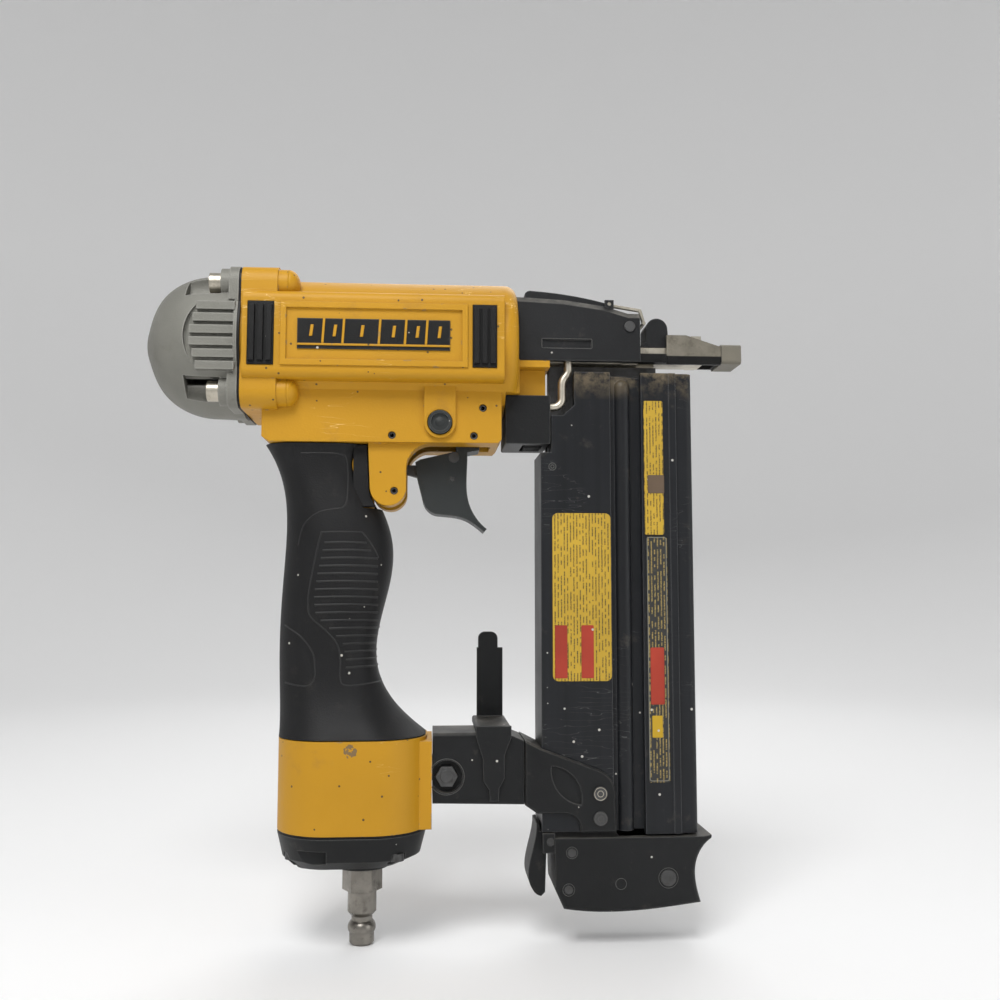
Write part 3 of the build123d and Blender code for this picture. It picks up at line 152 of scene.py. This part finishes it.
class Surface:
    """A procedural material, built from patterns that are laid in the object's own space."""

    def __init__(self, name, color, roughness, metallic=0.0, shine=0.5, corner=0.0005):
        self.material = bpy.data.materials.new(name)
        self.material.use_nodes = True
        self.tree = self.material.node_tree
        self.shader = self.tree.nodes["Principled BSDF"]
        self.coords = self.node("ShaderNodeTexCoord").outputs["Object"]
        self.color = self.rgb(color)
        self.roughness = self.value(roughness)
        self.shader.inputs["Metallic"].default_value = metallic
        self.shader.inputs["Specular IOR Level"].default_value = shine
        rounded = self.node("ShaderNodeBevel", samples=BEVEL_SAMPLES)
        rounded.inputs["Radius"].default_value = corner
        self.normal = rounded.outputs["Normal"]

    def node(self, kind, **settings):
        made = self.tree.nodes.new(kind)
        for key, setting in settings.items():
            setattr(made, key, setting)
        return made

    def feed(self, socket, source):
        if isinstance(source, (int, float)):
            socket.default_value = source
        elif isinstance(source, tuple):
            socket.default_value = source if len(source) == len(socket.default_value) \
                else (*source, 1)
        else:
            self.tree.links.new(source, socket)

    def rgb(self, color):
        made = self.node("ShaderNodeRGB")
        made.outputs[0].default_value = (*color, 1)
        return made.outputs[0]

    def value(self, number):
        made = self.node("ShaderNodeValue")
        made.outputs[0].default_value = number
        return made.outputs[0]

    def maths(self, operation, a, b=0.0):
        made = self.node("ShaderNodeMath", operation=operation)
        self.feed(made.inputs[0], a)
        self.feed(made.inputs[1], b)
        return made.outputs[0]

    def stretched(self, scale):
        made = self.node("ShaderNodeMapping")
        self.feed(made.inputs["Vector"], self.coords)
        made.inputs["Scale"].default_value = scale
        return made.outputs["Vector"]

    def noise(self, scale, detail=3.0, rough=0.55, vector=None):
        made = self.node("ShaderNodeTexNoise")
        self.feed(made.inputs["Vector"], vector or self.coords)
        made.inputs["Scale"].default_value = scale
        made.inputs["Detail"].default_value = detail
        made.inputs["Roughness"].default_value = rough
        return made.outputs["Fac"]

    def between(self, fac, low, high, to_low=0.0, to_high=1.0):
        made = self.node("ShaderNodeMapRange")
        self.feed(made.inputs["Value"], fac)
        for key, number in (("From Min", low), ("From Max", high), ("To Min", to_low),
                            ("To Max", to_high)):
            made.inputs[key].default_value = number
        return made.outputs["Result"]

    def blend(self, fac, a, b, kind="MIX"):
        made = self.node("ShaderNodeMix", data_type="RGBA", blend_type=kind)
        self.feed(made.inputs[MIX_FACTOR], fac)
        self.feed(made.inputs[MIX_A], a)
        self.feed(made.inputs[MIX_B], b)
        return made.outputs[MIX_RESULT]

    def specks(self, scale, share, radius):
        """Sparse dots: the centres of some cells of a Voronoi pattern."""
        made = self.node("ShaderNodeTexVoronoi")
        self.feed(made.inputs["Vector"], self.coords)
        made.inputs["Scale"].default_value = scale
        near = self.maths("LESS_THAN", made.outputs["Distance"], radius)
        split = self.node("ShaderNodeSeparateColor")
        self.feed(split.inputs[0], made.outputs["Color"])
        chosen = self.maths("LESS_THAN", split.outputs[0], share)
        return self.maths("MULTIPLY", near, chosen)

    def edges(self, width):
        """1 on convex and concave edges, 0 on flat stretches."""
        rounded = self.node("ShaderNodeBevel", samples=BEVEL_SAMPLES)
        rounded.inputs["Radius"].default_value = width
        plain = self.node("ShaderNodeNewGeometry")
        dot = self.node("ShaderNodeVectorMath", operation="DOT_PRODUCT")
        self.feed(dot.inputs[0], rounded.outputs["Normal"])
        self.feed(dot.inputs[1], plain.outputs["Normal"])
        lean = self.maths("SUBTRACT", 1.0, dot.outputs["Value"])
        return self.between(lean, EDGE_FROM, EDGE_TO)

    def bump(self, height, distance):
        made = self.node("ShaderNodeBump")
        self.feed(made.inputs["Height"], height)
        made.inputs["Distance"].default_value = distance
        made.inputs["Strength"].default_value = 1.0
        self.feed(made.inputs["Normal"], self.normal)
        self.normal = made.outputs["Normal"]

    def tint(self, fac, color):
        self.color = self.blend(fac, self.color, (*color, 1))

    def vary(self, fac, dark, light):
        """Multiplies the colour by a value that runs from dark to light."""
        amount = self.between(fac, 0.3, 0.7, dark, light)
        combined = self.node("ShaderNodeCombineColor")
        for k in range(3):
            self.feed(combined.inputs[k], amount)
        self.color = self.blend(1.0, self.color, combined.outputs[0], "MULTIPLY")

    def gloss(self, fac, amount):
        self.roughness = self.maths("ADD", self.roughness, self.maths("MULTIPLY", fac, amount))

    def along(self, axis):
        """The point's own coordinate along X, Y or Z (0, 1 or 2), in metres."""
        split = self.node("ShaderNodeSeparateXYZ")
        self.feed(split.inputs[0], self.coords)
        return split.outputs[axis]

    def facing_up(self, low, high):
        plain = self.node("ShaderNodeNewGeometry")
        split = self.node("ShaderNodeSeparateXYZ")
        self.feed(split.inputs[0], plain.outputs["Normal"])
        return self.between(split.outputs[2], low, high)

    def done(self):
        self.feed(self.shader.inputs["Base Color"], self.color)
        self.feed(self.shader.inputs["Roughness"], self.roughness)
        self.feed(self.shader.inputs["Normal"], self.normal)
        return self.material


def scratches(surface, scale, threshold):
    """Thin long marks, from a stretched noise that is cut near its middle."""
    streaks = surface.noise(scale, 2.0, 0.4, surface.stretched((0.35, 1.0, 2.6)))
    ridge = surface.maths("ABSOLUTE", surface.maths("SUBTRACT", streaks, 0.5))
    thin = surface.maths("LESS_THAN", ridge, threshold)
    gate = surface.between(surface.noise(22, 2.0), 0.56, 0.62)
    return surface.maths("MULTIPLY", thin, gate)


# ---------------------------------------------------------------- materials
# places where the paint is knocked off, with the reach of each, in metres
CHIPS = (((-0.1651, -0.027, -0.1660), 0.0042), ((-0.1420, -0.027, -0.1760), 0.0022),
         ((-0.1640, 0.027, -0.1900), 0.0035))


def yellow_paint():
    s = Surface("yellow_paint", (0.52, 0.262, 0.009), 0.4, shine=0.32)
    s.vary(s.noise(14, 3.0), 0.93, 1.05)
    grime = s.between(s.noise(60, 5.0, 0.7), 0.60, 0.78, 0, 0.5)
    s.tint(grime, (0.34, 0.17, 0.03))
    edge = s.edges(0.0012)
    chips = s.maths("MULTIPLY", edge, s.between(s.noise(170, 4.0, 0.65), 0.60, 0.64))
    s.tint(chips, (0.20, 0.17, 0.12))
    s.tint(s.specks(420, 0.05, 0.2), (0.10, 0.06, 0.02))
    for place, reach in CHIPS:
        far = s.node("ShaderNodeVectorMath", operation="DISTANCE")
        s.feed(far.inputs[0], s.coords)
        far.inputs[1].default_value = place
        near = s.between(far.outputs["Value"], reach * 0.5, reach, 1.0, 0.0)
        worn = s.maths("GREATER_THAN", s.maths("MULTIPLY", near, s.noise(420, 3.0, 0.6)), 0.42)
        s.tint(worn, (0.20, 0.13, 0.06))
    s.tint(scratches(s, 130, 0.004), (0.78, 0.52, 0.18))
    s.gloss(s.noise(45, 4.0), 0.18)
    s.bump(s.noise(1100, 2.0), 0.00006)
    return s.done()


def rubber(name, color, roughness, grain):
    s = Surface(name, color, roughness, shine=0.25)
    s.vary(s.noise(25, 4.0), 0.8, 1.25)
    s.tint(s.between(s.noise(90, 5.0, 0.7), 0.60, 0.80, 0, 0.25), (0.07, 0.065, 0.055))
    s.tint(s.specks(330, 0.045, 0.17), (0.50, 0.48, 0.43))
    s.gloss(s.noise(60, 3.0), 0.12)
    s.bump(s.noise(grain, 3.0), 0.0001)
    return s.done()


def moulded(name, color, roughness, dust=0.35, grain=1500):
    s = Surface(name, color, roughness, shine=0.25)
    s.vary(s.noise(30, 4.0), 0.82, 1.22)
    film = s.maths("MULTIPLY", s.facing_up(0.2, 0.95), s.between(s.noise(70, 4.0), 0.35, 0.7))
    s.tint(s.maths("MULTIPLY", film, dust), (0.30, 0.28, 0.24))
    s.tint(s.maths("MULTIPLY", s.edges(0.0008), 0.5), (0.15, 0.15, 0.145))
    s.tint(s.specks(300, 0.05, 0.16), (0.52, 0.50, 0.46))
    s.tint(s.between(s.noise(120, 5.0, 0.7), 0.62, 0.8, 0, 0.3), (0.10, 0.09, 0.075))
    s.gloss(s.noise(50, 3.0), 0.14)
    s.bump(s.noise(grain, 2.0), 0.00006)
    return s.done()


# heights between which the dust on the magazine comes in
MAGAZINE_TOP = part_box("magazine_cover")[1][2]
TOP_DUST = (MAGAZINE_TOP - 0.012, MAGAZINE_TOP)


def anodised(name, color, roughness):
    s = Surface(name, color, roughness, 0.1, 0.3)
    drawn = s.noise(260, 3.0, 0.5, s.stretched((1.0, 1.0, 0.012)))
    s.vary(drawn, 0.82, 1.2)
    s.tint(s.specks(280, 0.07, 0.15), (0.52, 0.50, 0.46))
    s.tint(s.between(s.noise(85, 5.0, 0.7), 0.60, 0.8, 0, 0.4), (0.13, 0.115, 0.09))
    s.tint(s.maths("MULTIPLY", s.edges(0.0007), 0.5), (0.17, 0.17, 0.175))
    top = s.between(s.along(2), TOP_DUST[0], TOP_DUST[1])
    dust = s.maths("MULTIPLY", top, s.between(s.noise(140, 5.0, 0.7), 0.42, 0.62))
    s.tint(s.maths("MULTIPLY", dust, 0.7), (0.23, 0.18, 0.11))
    s.tint(s.maths("MULTIPLY", scratches(s, 160, 0.003), 0.5), (0.16, 0.16, 0.16))
    s.gloss(s.noise(70, 4.0), 0.16)
    s.bump(drawn, 0.00005)
    return s.done()


def metal(name, color, roughness, tarnish, dark_below=None):
    """Plated or bare metal; dark_below is a height under which it is blackened."""
    s = Surface(name, color, roughness, 1.0)
    s.vary(s.noise(120, 4.0, 0.6), 0.75, 1.15)
    s.tint(s.between(s.noise(210, 5.0, 0.7), 0.52, 0.75, 0, 0.7), tarnish)
    if dark_below is not None:
        s.tint(s.between(s.along(2), dark_below, dark_below - 0.0003), (0.03, 0.03, 0.03))
    s.gloss(s.noise(300, 4.0), 0.22)
    s.bump(s.noise(900, 3.0, 0.6), 0.00006)
    return s.done()


def bare_casting():
    s = Surface("bare_casting", (0.20, 0.197, 0.172), 0.48, 0.25)
    s.vary(s.noise(18, 4.0), 0.82, 1.15)
    s.tint(s.between(s.noise(70, 5.0, 0.65), 0.55, 0.8, 0, 0.5), (0.12, 0.11, 0.09))
    s.tint(s.maths("MULTIPLY", s.edges(0.0012), 0.55), (0.42, 0.41, 0.38))
    s.gloss(s.noise(200, 3.0), 0.2)
    s.bump(s.noise(1400, 3.0), 0.00016)
    return s.done()


YELLOW_VINYL = (0.50, 0.315, 0.022)
INK = (0.03, 0.025, 0.01)
# rows of print to a metre, and the height in metres above which the front label is yellow
PRINT_ROWS = 760
FRONT_LABEL_SPLIT = -0.0796


def label(name, ground, ink, lines, switch=None):
    """Printed vinyl: rows of plain bars that stand for small print, with no letters.
    Above the height switch the ground is yellow and the ink dark."""
    s = Surface(name, ground, 0.42)
    if switch is not None:
        upper = s.maths("GREATER_THAN", s.along(2), switch)
        s.tint(upper, YELLOW_VINYL)
        dark = s.rgb(INK)
        ink = s.blend(upper, (*ink, 1), dark)
    s.vary(s.noise(40, 3.0), 0.9, 1.08)
    column = s.maths("MULTIPLY", s.along(0), lines)
    across = s.maths("FRACT", column)
    row = s.maths("LESS_THAN", s.maths("ABSOLUTE", s.maths("SUBTRACT", across, 0.5)), 0.2)
    place = s.node("ShaderNodeCombineXYZ")
    s.feed(place.inputs[0], s.maths("MULTIPLY", s.maths("FLOOR", column), 7.3))
    s.feed(place.inputs[2], s.maths("MULTIPLY", s.along(2), 430))
    words = s.noise(1.0, 0.0, 0.5, place.outputs[0])
    marks = s.noise(3200, 0.0, 0.5)
    printed = s.maths("MULTIPLY", s.maths("GREATER_THAN", words, 0.43),
                      s.maths("GREATER_THAN", marks, 0.42))
    printed = s.maths("MULTIPLY", row, printed)
    s.color = s.blend(s.maths("MULTIPLY", printed, 0.9), s.color, ink)
    s.tint(s.between(s.noise(110, 5.0, 0.7), 0.62, 0.82, 0, 0.5), (0.14, 0.11, 0.05))
    s.tint(s.specks(260, 0.05, 0.14), (0.5, 0.48, 0.42))
    s.gloss(s.noise(80, 3.0), 0.15)
    s.bump(s.noise(700, 2.0), 0.00003)
    return s.done()


MATERIALS = {
    "yellow_paint": yellow_paint(),
    "grip_rubber": rubber("grip_rubber", (0.008, 0.008, 0.0085), 0.48, 1500),
    "black_rubber": rubber("black_rubber", (0.008, 0.008, 0.008), 0.42, 1200),
    "bumper_rubber": rubber("bumper_rubber", (0.25, 0.07, 0.02), 0.5, 900),
    "black_plastic": moulded("black_plastic", (0.0085, 0.009, 0.0095), 0.4),
    "inner_plastic": moulded("inner_plastic", (0.05, 0.05, 0.055), 0.5),
    "trigger_plastic": moulded("trigger_plastic", (0.026, 0.029, 0.029), 0.42, 0.3),
    "panel_plastic": moulded("panel_plastic", (0.008, 0.008, 0.008), 0.35, 0.1),
    "clear_plastic": moulded("clear_plastic", (0.15, 0.138, 0.11), 0.42, 0.1),
    "nose_metal": moulded("nose_metal", (0.012, 0.0125, 0.0135), 0.42, 0.9, 1000),
    "black_anodised": anodised("black_anodised", (0.0095, 0.0105, 0.0125), 0.34),
    "bare_casting": bare_casting(),
    "bright_steel": metal("bright_steel", (0.54, 0.50, 0.42), 0.28, (0.17, 0.14, 0.10)),
    "trip_steel": metal("trip_steel", (0.30, 0.275, 0.225), 0.3, (0.09, 0.075, 0.055),
                        dark_below=-0.0016),
    "plug_steel": metal("plug_steel", (0.24, 0.225, 0.20), 0.2, (0.05, 0.042, 0.033)),
    "dark_steel": metal("dark_steel", (0.10, 0.10, 0.10), 0.36, (0.05, 0.045, 0.04)),
    "aluminium": metal("aluminium", (0.66, 0.67, 0.68), 0.3, (0.4, 0.39, 0.37)),
    "yellow_label": label("yellow_label", YELLOW_VINYL, (*INK, 1), PRINT_ROWS),
    "dark_label": label("dark_label", (0.02, 0.02, 0.02), (0.36, 0.26, 0.07), PRINT_ROWS,
                        FRONT_LABEL_SPLIT),
    "red_print": rubber("red_print", (0.34, 0.042, 0.024), 0.45, 700),
    "yellow_print": rubber("yellow_print", YELLOW_VINYL, 0.45, 700),
    "patch_print": rubber("patch_print", (0.13, 0.09, 0.06), 0.45, 500),
    "worn_rim": moulded("worn_rim", (0.085, 0.085, 0.08), 0.4, 0.1),
    "grip_line": rubber("grip_line", (0.028, 0.028, 0.028), 0.4, 900),
    "pale_print": rubber("pale_print", (0.30, 0.29, 0.24), 0.5, 700),
}


# nodes whose slot's look differs a little from the slot's other nodes
NODE_LOOKS = {"contact_trip": "trip_steel"}


def dress_cad():
    """Gives each CAD node its slot's material."""
    for part in frame["record"]["subparts"]:
        node = NODES[part["node"]]
        look = NODE_LOOKS.get(part["node"], part["material_slot"])
        node.material_slots[0].material = MATERIALS[look]


# ---------------------------------------------------------------- added pieces
def new_object(name, data, material, body):
    piece = bpy.data.objects.new(name, data)
    bpy.context.scene.collection.objects.link(piece)
    data.materials.append(MATERIALS[material])
    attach(piece, body)
    return piece


def smooth_line(points):
    """Catmull-Rom curve through (x, z) points, as a list of (x, z)."""
    line, steps = [], 10
    ends = [points[0], *points, points[-1]]
    for a, b, c, d in zip(ends, ends[1:], ends[2:], ends[3:]):
        for k in range(steps):
            t = k / steps
            line.append(tuple(
                0.5 * (2 * b[i] + (c[i] - a[i]) * t
                       + (2 * a[i] - 5 * b[i] + 4 * c[i] - d[i]) * t * t
                       + (3 * b[i] - a[i] - 3 * c[i] + d[i]) * t ** 3)
                for i in range(2)))
    line.append(points[-1])
    return line


def lay_on(node, line, side, sink):
    """Points of an (x, z) line in millimetres, laid on a node's side that faces side * Y."""
    outside, least_facing = 0.08, 0.12
    laid = []
    for x, z in line:
        start = Vector((x * MM, side * outside, z * MM))
        hit, place, normal, _ = NODES[node].ray_cast(start, Vector((0, -side, 0)))
        if hit and abs(normal.y) > least_facing:
            laid.append(place - normal * sink)
    return laid


def raised_lines(name, runs, radius, material, body):
    """Low round beads along runs of points, all in one curve object."""
    data = bpy.data.curves.new(name, "CURVE")
    data.dimensions = "3D"
    data.bevel_depth = radius
    data.bevel_resolution = 2
    data.use_fill_caps = True
    for run in runs:
        if len(run) < 3:
            continue
        spline = data.splines.new("POLY")
        spline.points.add(len(run) - 1)
        for point, place in zip(spline.points, run):
            point.co = (*place, 1)
    new_object(name, data, material, body)


# outlines of the beads on the grip, as (x, z) in millimetres
UPPER_LOOP = [(-187.3, -46.8), (-172.5, -46.9), (-168.6, -49.6), (-168.1, -64.0),
              (-169.6, -68.9), (-174.2, -69.9), (-180.2, -71.6), (-185.6, -76.5),
              (-187.8, -84.6)]
LEFT_OUTLINE = [(-161.9, -79.2), (-176.4, -79.3), (-178.6, -81.0), (-181.8, -96.7),
                (-183.2, -106.7), (-182.2, -113.4), (-176.2, -118.9), (-171.4, -124.6),
                (-170.1, -130.7), (-170.0, -138.0), (-167.5, -141.0), (-154.5, -140.2)]
RIGHT_OUTLINE = [(-161.9, -79.2), (-157.8, -84.5), (-155.3, -89.5)]
LOWER_LOOP = [(-193.0, -116.9), (-186.1, -121.5), (-181.5, -127.2), (-180.3, -133.0),
              (-180.4, -138.2), (-183.4, -141.2), (-192.6, -140.1)]
RIB_PITCH = 3.15
RIB_COUNT = 17
RIB_TOP = -83.6
RIB_STEPS = 24
RIB_RISE = 0.25
# where the ribs end below the right outline, and their gaps to the beads
RIB_END, RIB_LEFT_GAP, RIB_RIGHT_GAP = -154.0, 2.2, 1.6


def cross_x(line, z):
    """Where an (x, z) line crosses the height z, or None."""
    for a, b in zip(line, line[1:]):
        if min(a[1], b[1]) <= z <= max(a[1], b[1]) and a[1] != b[1]:
            return a[0] + (b[0] - a[0]) * (z - a[1]) / (b[1] - a[1])
    return None


def grip_lines():
    """Beads around the grip's panels, and the ribs between them, on both sides."""
    for side, tag in ((-1, "right"), (1, "left")):
        runs = [lay_on("grip_overmold", smooth_line(points), side, 0.00012)
                for points in (UPPER_LOOP, LEFT_OUTLINE, RIGHT_OUTLINE, LOWER_LOOP)]
        raised_lines(f"grip_beads_{tag}", runs, 0.00038, "grip_line", "tool")
        ribs = []
        for k in range(RIB_COUNT):
            z = RIB_TOP - RIB_PITCH * k
            low = cross_x(LEFT_OUTLINE[1:], z)
            high = cross_x(RIGHT_OUTLINE, z) or RIB_END
            if low is None:
                continue
            low, high = low + RIB_LEFT_GAP, high - RIB_RIGHT_GAP
            level = [(low + (high - low) * j / RIB_STEPS,
                      z + RIB_RISE * math.sin(j / RIB_STEPS * math.pi))
                     for j in range(RIB_STEPS + 1)]
            ribs.append(lay_on("grip_overmold", level, side, 0.0002))
        raised_lines(f"grip_ribs_{tag}", ribs, 0.00055, "grip_line", "tool")


def plate(name, outline, y, thick, material, body):
    """Flat plate in the XZ plane: an (x, z) outline in millimetres, from y to y + thick."""
    count = len(outline)
    vertices = [(x * MM, y, z * MM) for x, z in outline]
    vertices += [(x * MM, y + thick, z * MM) for x, z in outline]
    faces = [list(range(count)), list(range(2 * count - 1, count - 1, -1))]
    faces += [(k, k + count, (k + 1) % count + count, (k + 1) % count) for k in range(count)]
    mesh = bpy.data.meshes.new(name)
    mesh.from_pydata(vertices, [], faces)
    piece = new_object(name, mesh, material, body)
    soften = piece.modifiers.new("soften", "BEVEL")
    soften.width = 0.00012
    soften.segments = 2


def rounded(x0, x1, z0, z1, r):
    """Outline of a rectangle with rounded corners."""
    corners = [(x1 - r, z1 - r, 0), (x0 + r, z1 - r, 90), (x0 + r, z0 + r, 180),
               (x1 - r, z0 + r, 270)]
    points, steps = [], 5
    for x, z, start in corners:
        for k in range(steps + 1):
            angle = math.radians(start + 90 * k / steps)
            points.append((x + r * math.cos(angle), z + r * math.sin(angle)))
    return points


def name_motif():
    """Yellow mask on each dark inlay, which leaves six dark blocks and a line under them.
    The block widths follow the photo's lettering, and that is a fault."""
    low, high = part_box("name_inlays")
    left, right, bottom, top = low[0] / MM, high[0] / MM, low[2] / MM, high[2] / MM
    thick, rule_low, rule_high = 0.0003, bottom + 1.3, bottom + 2.2
    slit_low, slit_high, slit_share = -1.2, 3.6, 0.45
    widths = (10.5, 8.0, 14.5, 10.5, 8.5, 9.4)
    for side, tag in ((-1, "right"), (1, "left")):
        y = low[1] - thick if side < 0 else high[1]
        rule = [(left, rule_low), (right, rule_low), (right, rule_high), (left, rule_high)]
        plate(f"inlay_rule_{tag}", rule, y, thick, "yellow_paint", "tool")
        x = left
        for k, width in enumerate(widths):
            slit = x + width * slit_share
            leaning = [(slit, slit_low), (slit + 1.3, slit_low), (slit + 1.9, slit_high),
                       (slit + 0.6, slit_high)]
            plate(f"inlay_slit_{tag}_{k + 1}", leaning, y, thick, "yellow_paint", "tool")
            x += width
            if k < len(widths) - 1:
                gap = [(x - 0.9, rule_high), (x + 0.1, rule_high), (x + 0.7, top),
                       (x - 0.3, top)]
                plate(f"inlay_gap_{tag}_{k + 1}", gap, y, thick, "yellow_paint", "tool")


def label_marks():
    """Plain coloured bars and patches and a thin outline on the labels, all on the right side."""
    lift, thick = 0.0001, 0.0002
    low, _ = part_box("rear_label")
    bar_width, bar_from, bar_to = 5.2, low[2] / MM + 1.2, low[2] / MM + 23.0
    for k, x in enumerate((-82.4, -71.4)):
        strip = rounded(x, x + bar_width, bar_from, bar_to, 0.5)
        plate(f"label_heading_{k + 1}", strip, low[1] - lift, thick, "red_print", "tool")
    low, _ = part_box("front_labels")
    x0, x1, outline_low, outline_high = -43.2, -35.2, -181.0, -80.6
    patches = (("label_warning_bar", (x0 + 0.8, x1 - 1.4, -150.0, -126.5, 0.5), "red_print"),
               ("label_yellow_patch", (x0 + 1.2, x1 - 2.4, -163.5, -154.5, 0.4), "yellow_print"),
               ("label_size_patch", (x0 + 0.6, x1 - 0.4, -62.0, -54.2, 0.5), "patch_print"))
    for name, shape, ink in patches:
        plate(name, rounded(*shape), low[1] - lift, thick, ink, "magazine")
    edge = [Vector((x * MM, low[1], z * MM))
            for x, z in rounded(x0, x1, outline_low, outline_high, 0.9)]
    raised_lines("label_outline", [[*edge, edge[0]]], 0.00014, "pale_print", "magazine")


def boss_domes():
    """Rounded ends on the four cap bolt bosses of the housing."""
    radius, reach, start, turns, rings, last_angle = 6.0, 4.6, -192.6, 32, 7, 86
    bosses = ((-21.0, 22.4), (-21.0, -22.4), (21.0, 22.4), (21.0, -22.4))
    for k, (y, z) in enumerate(bosses):
        vertices, faces = [], []
        for ring in range(rings):
            angle = math.radians(last_angle * ring / (rings - 1))
            for turn in range(turns):
                around = 2 * math.pi * turn / turns
                out = radius * math.cos(angle)
                vertices.append(((start + reach * math.sin(angle)) * MM,
                                 (y + out * math.cos(around)) * MM,
                                 (z + out * math.sin(around)) * MM))
        for ring in range(rings - 1):
            for turn in range(turns):
                a, b = ring * turns + turn, ring * turns + (turn + 1) % turns
                faces.append((a, b, b + turns, a + turns))
        faces.append(list(range(turns - 1, -1, -1)))
        faces.append(list(range((rings - 1) * turns, rings * turns)))
        mesh = bpy.data.meshes.new(f"boss_dome_{k + 1}")
        mesh.from_pydata(vertices, [], faces)
        mesh.shade_smooth()
        new_object(f"boss_dome_{k + 1}", mesh, "yellow_paint", "tool")


def grip_lips():
    """Rubber edge of the grip, behind the housing's tongue on each side."""
    outline = [(-166.0, -42.8), (-160.4, -42.8), (-159.5, -61.5), (-158.6, -65.0),
               (-156.6, -68.2), (-166.0, -68.8)]
    thick = 0.0062
    for y, tag in ((-0.0152, "right"), (0.0090, "left")):
        plate(f"grip_lip_{tag}", outline, y, thick, "grip_rubber", "tool")


def circle(x, y, z, r):
    """Closed run of points around an axis along Y; the sizes are in millimetres."""
    steps = 32
    return [Vector(((x + r * math.cos(2 * math.pi * k / steps)) * MM, y * MM,
                    (z + r * math.sin(2 * math.pi * k / steps)) * MM)) for k in range(steps + 1)]


# small rims on the right side, in millimetres: centres as (x, y, z), END_CAP_RIMS as
# (x, z, radius)
UPPER_SCREW = (-64.3, -16.0, -185.4)
LOWER_SCREW = (-64.3, -16.0, -195.3)
ARM_NUT = (-126.9, -13.4, -178.3)
RAIL_RIVET = (-83.1, -13.2, -51.0)
END_CAP_Y = -14.6
END_CAP_RIMS = ((-76.0, -208.9, 2.3), (-77.4, -223.5, 2.4), (-56.0, -221.5, 2.2),
                (-36.5, -219.5, 4.0))
SCREW_RADII = (2.5, 1.2)
RIVET_RADII = (1.5, 0.7)
NUT_RECESS_RADIUS = 7.2


def fine_rings():
    """Worn rims around screws, the nut's recess, a rivet and the end cap's round features,
    and two marks on the nose's hood, on the right side."""
    bright = [circle(*UPPER_SCREW, r) for r in SCREW_RADII]
    raised_lines("screw_rims", bright, 0.00016, "bright_steel", "tool")
    dull = [circle(*LOWER_SCREW, r) for r in SCREW_RADII]
    dull += [circle(*ARM_NUT, NUT_RECESS_RADIUS)]
    raised_lines("screw_rims_dull", dull, 0.00014, "worn_rim", "tool")
    slot_y, strip_x, strip_y = -14.02, -97.7, -14.0
    slot = [Vector((x * MM, slot_y * MM, z * MM))
            for x, z in rounded(-87.5, -66.0, -0.6, 3.6, 0.6)]
    strip = [Vector((strip_x * MM, strip_y * MM, z * MM)) for z in (9.5, 4.0, -1.0, -5.4)]
    raised_lines("hood_slot_rim", [[*slot, slot[0]]], 0.00014, "worn_rim", "tool")
    raised_lines("hood_edge_strip", [strip], 0.0002, "bright_steel", "tool")
    rivet = [circle(*RAIL_RIVET, r) for r in RIVET_RADII]
    raised_lines("rail_rivet_rims", rivet, 0.00018, "worn_rim", "tool")
    cap = [circle(x, END_CAP_Y, z, r) for x, z, r in END_CAP_RIMS]
    raised_lines("end_cap_rims", cap, 0.00013, "worn_rim", "magazine")


# ---------------------------------------------------------------- build
add_camera()
add_stage()
add_lights()
dress_cad()
grip_lines()
name_motif()
label_marks()
fine_rings()
boss_domes()
grip_lips()
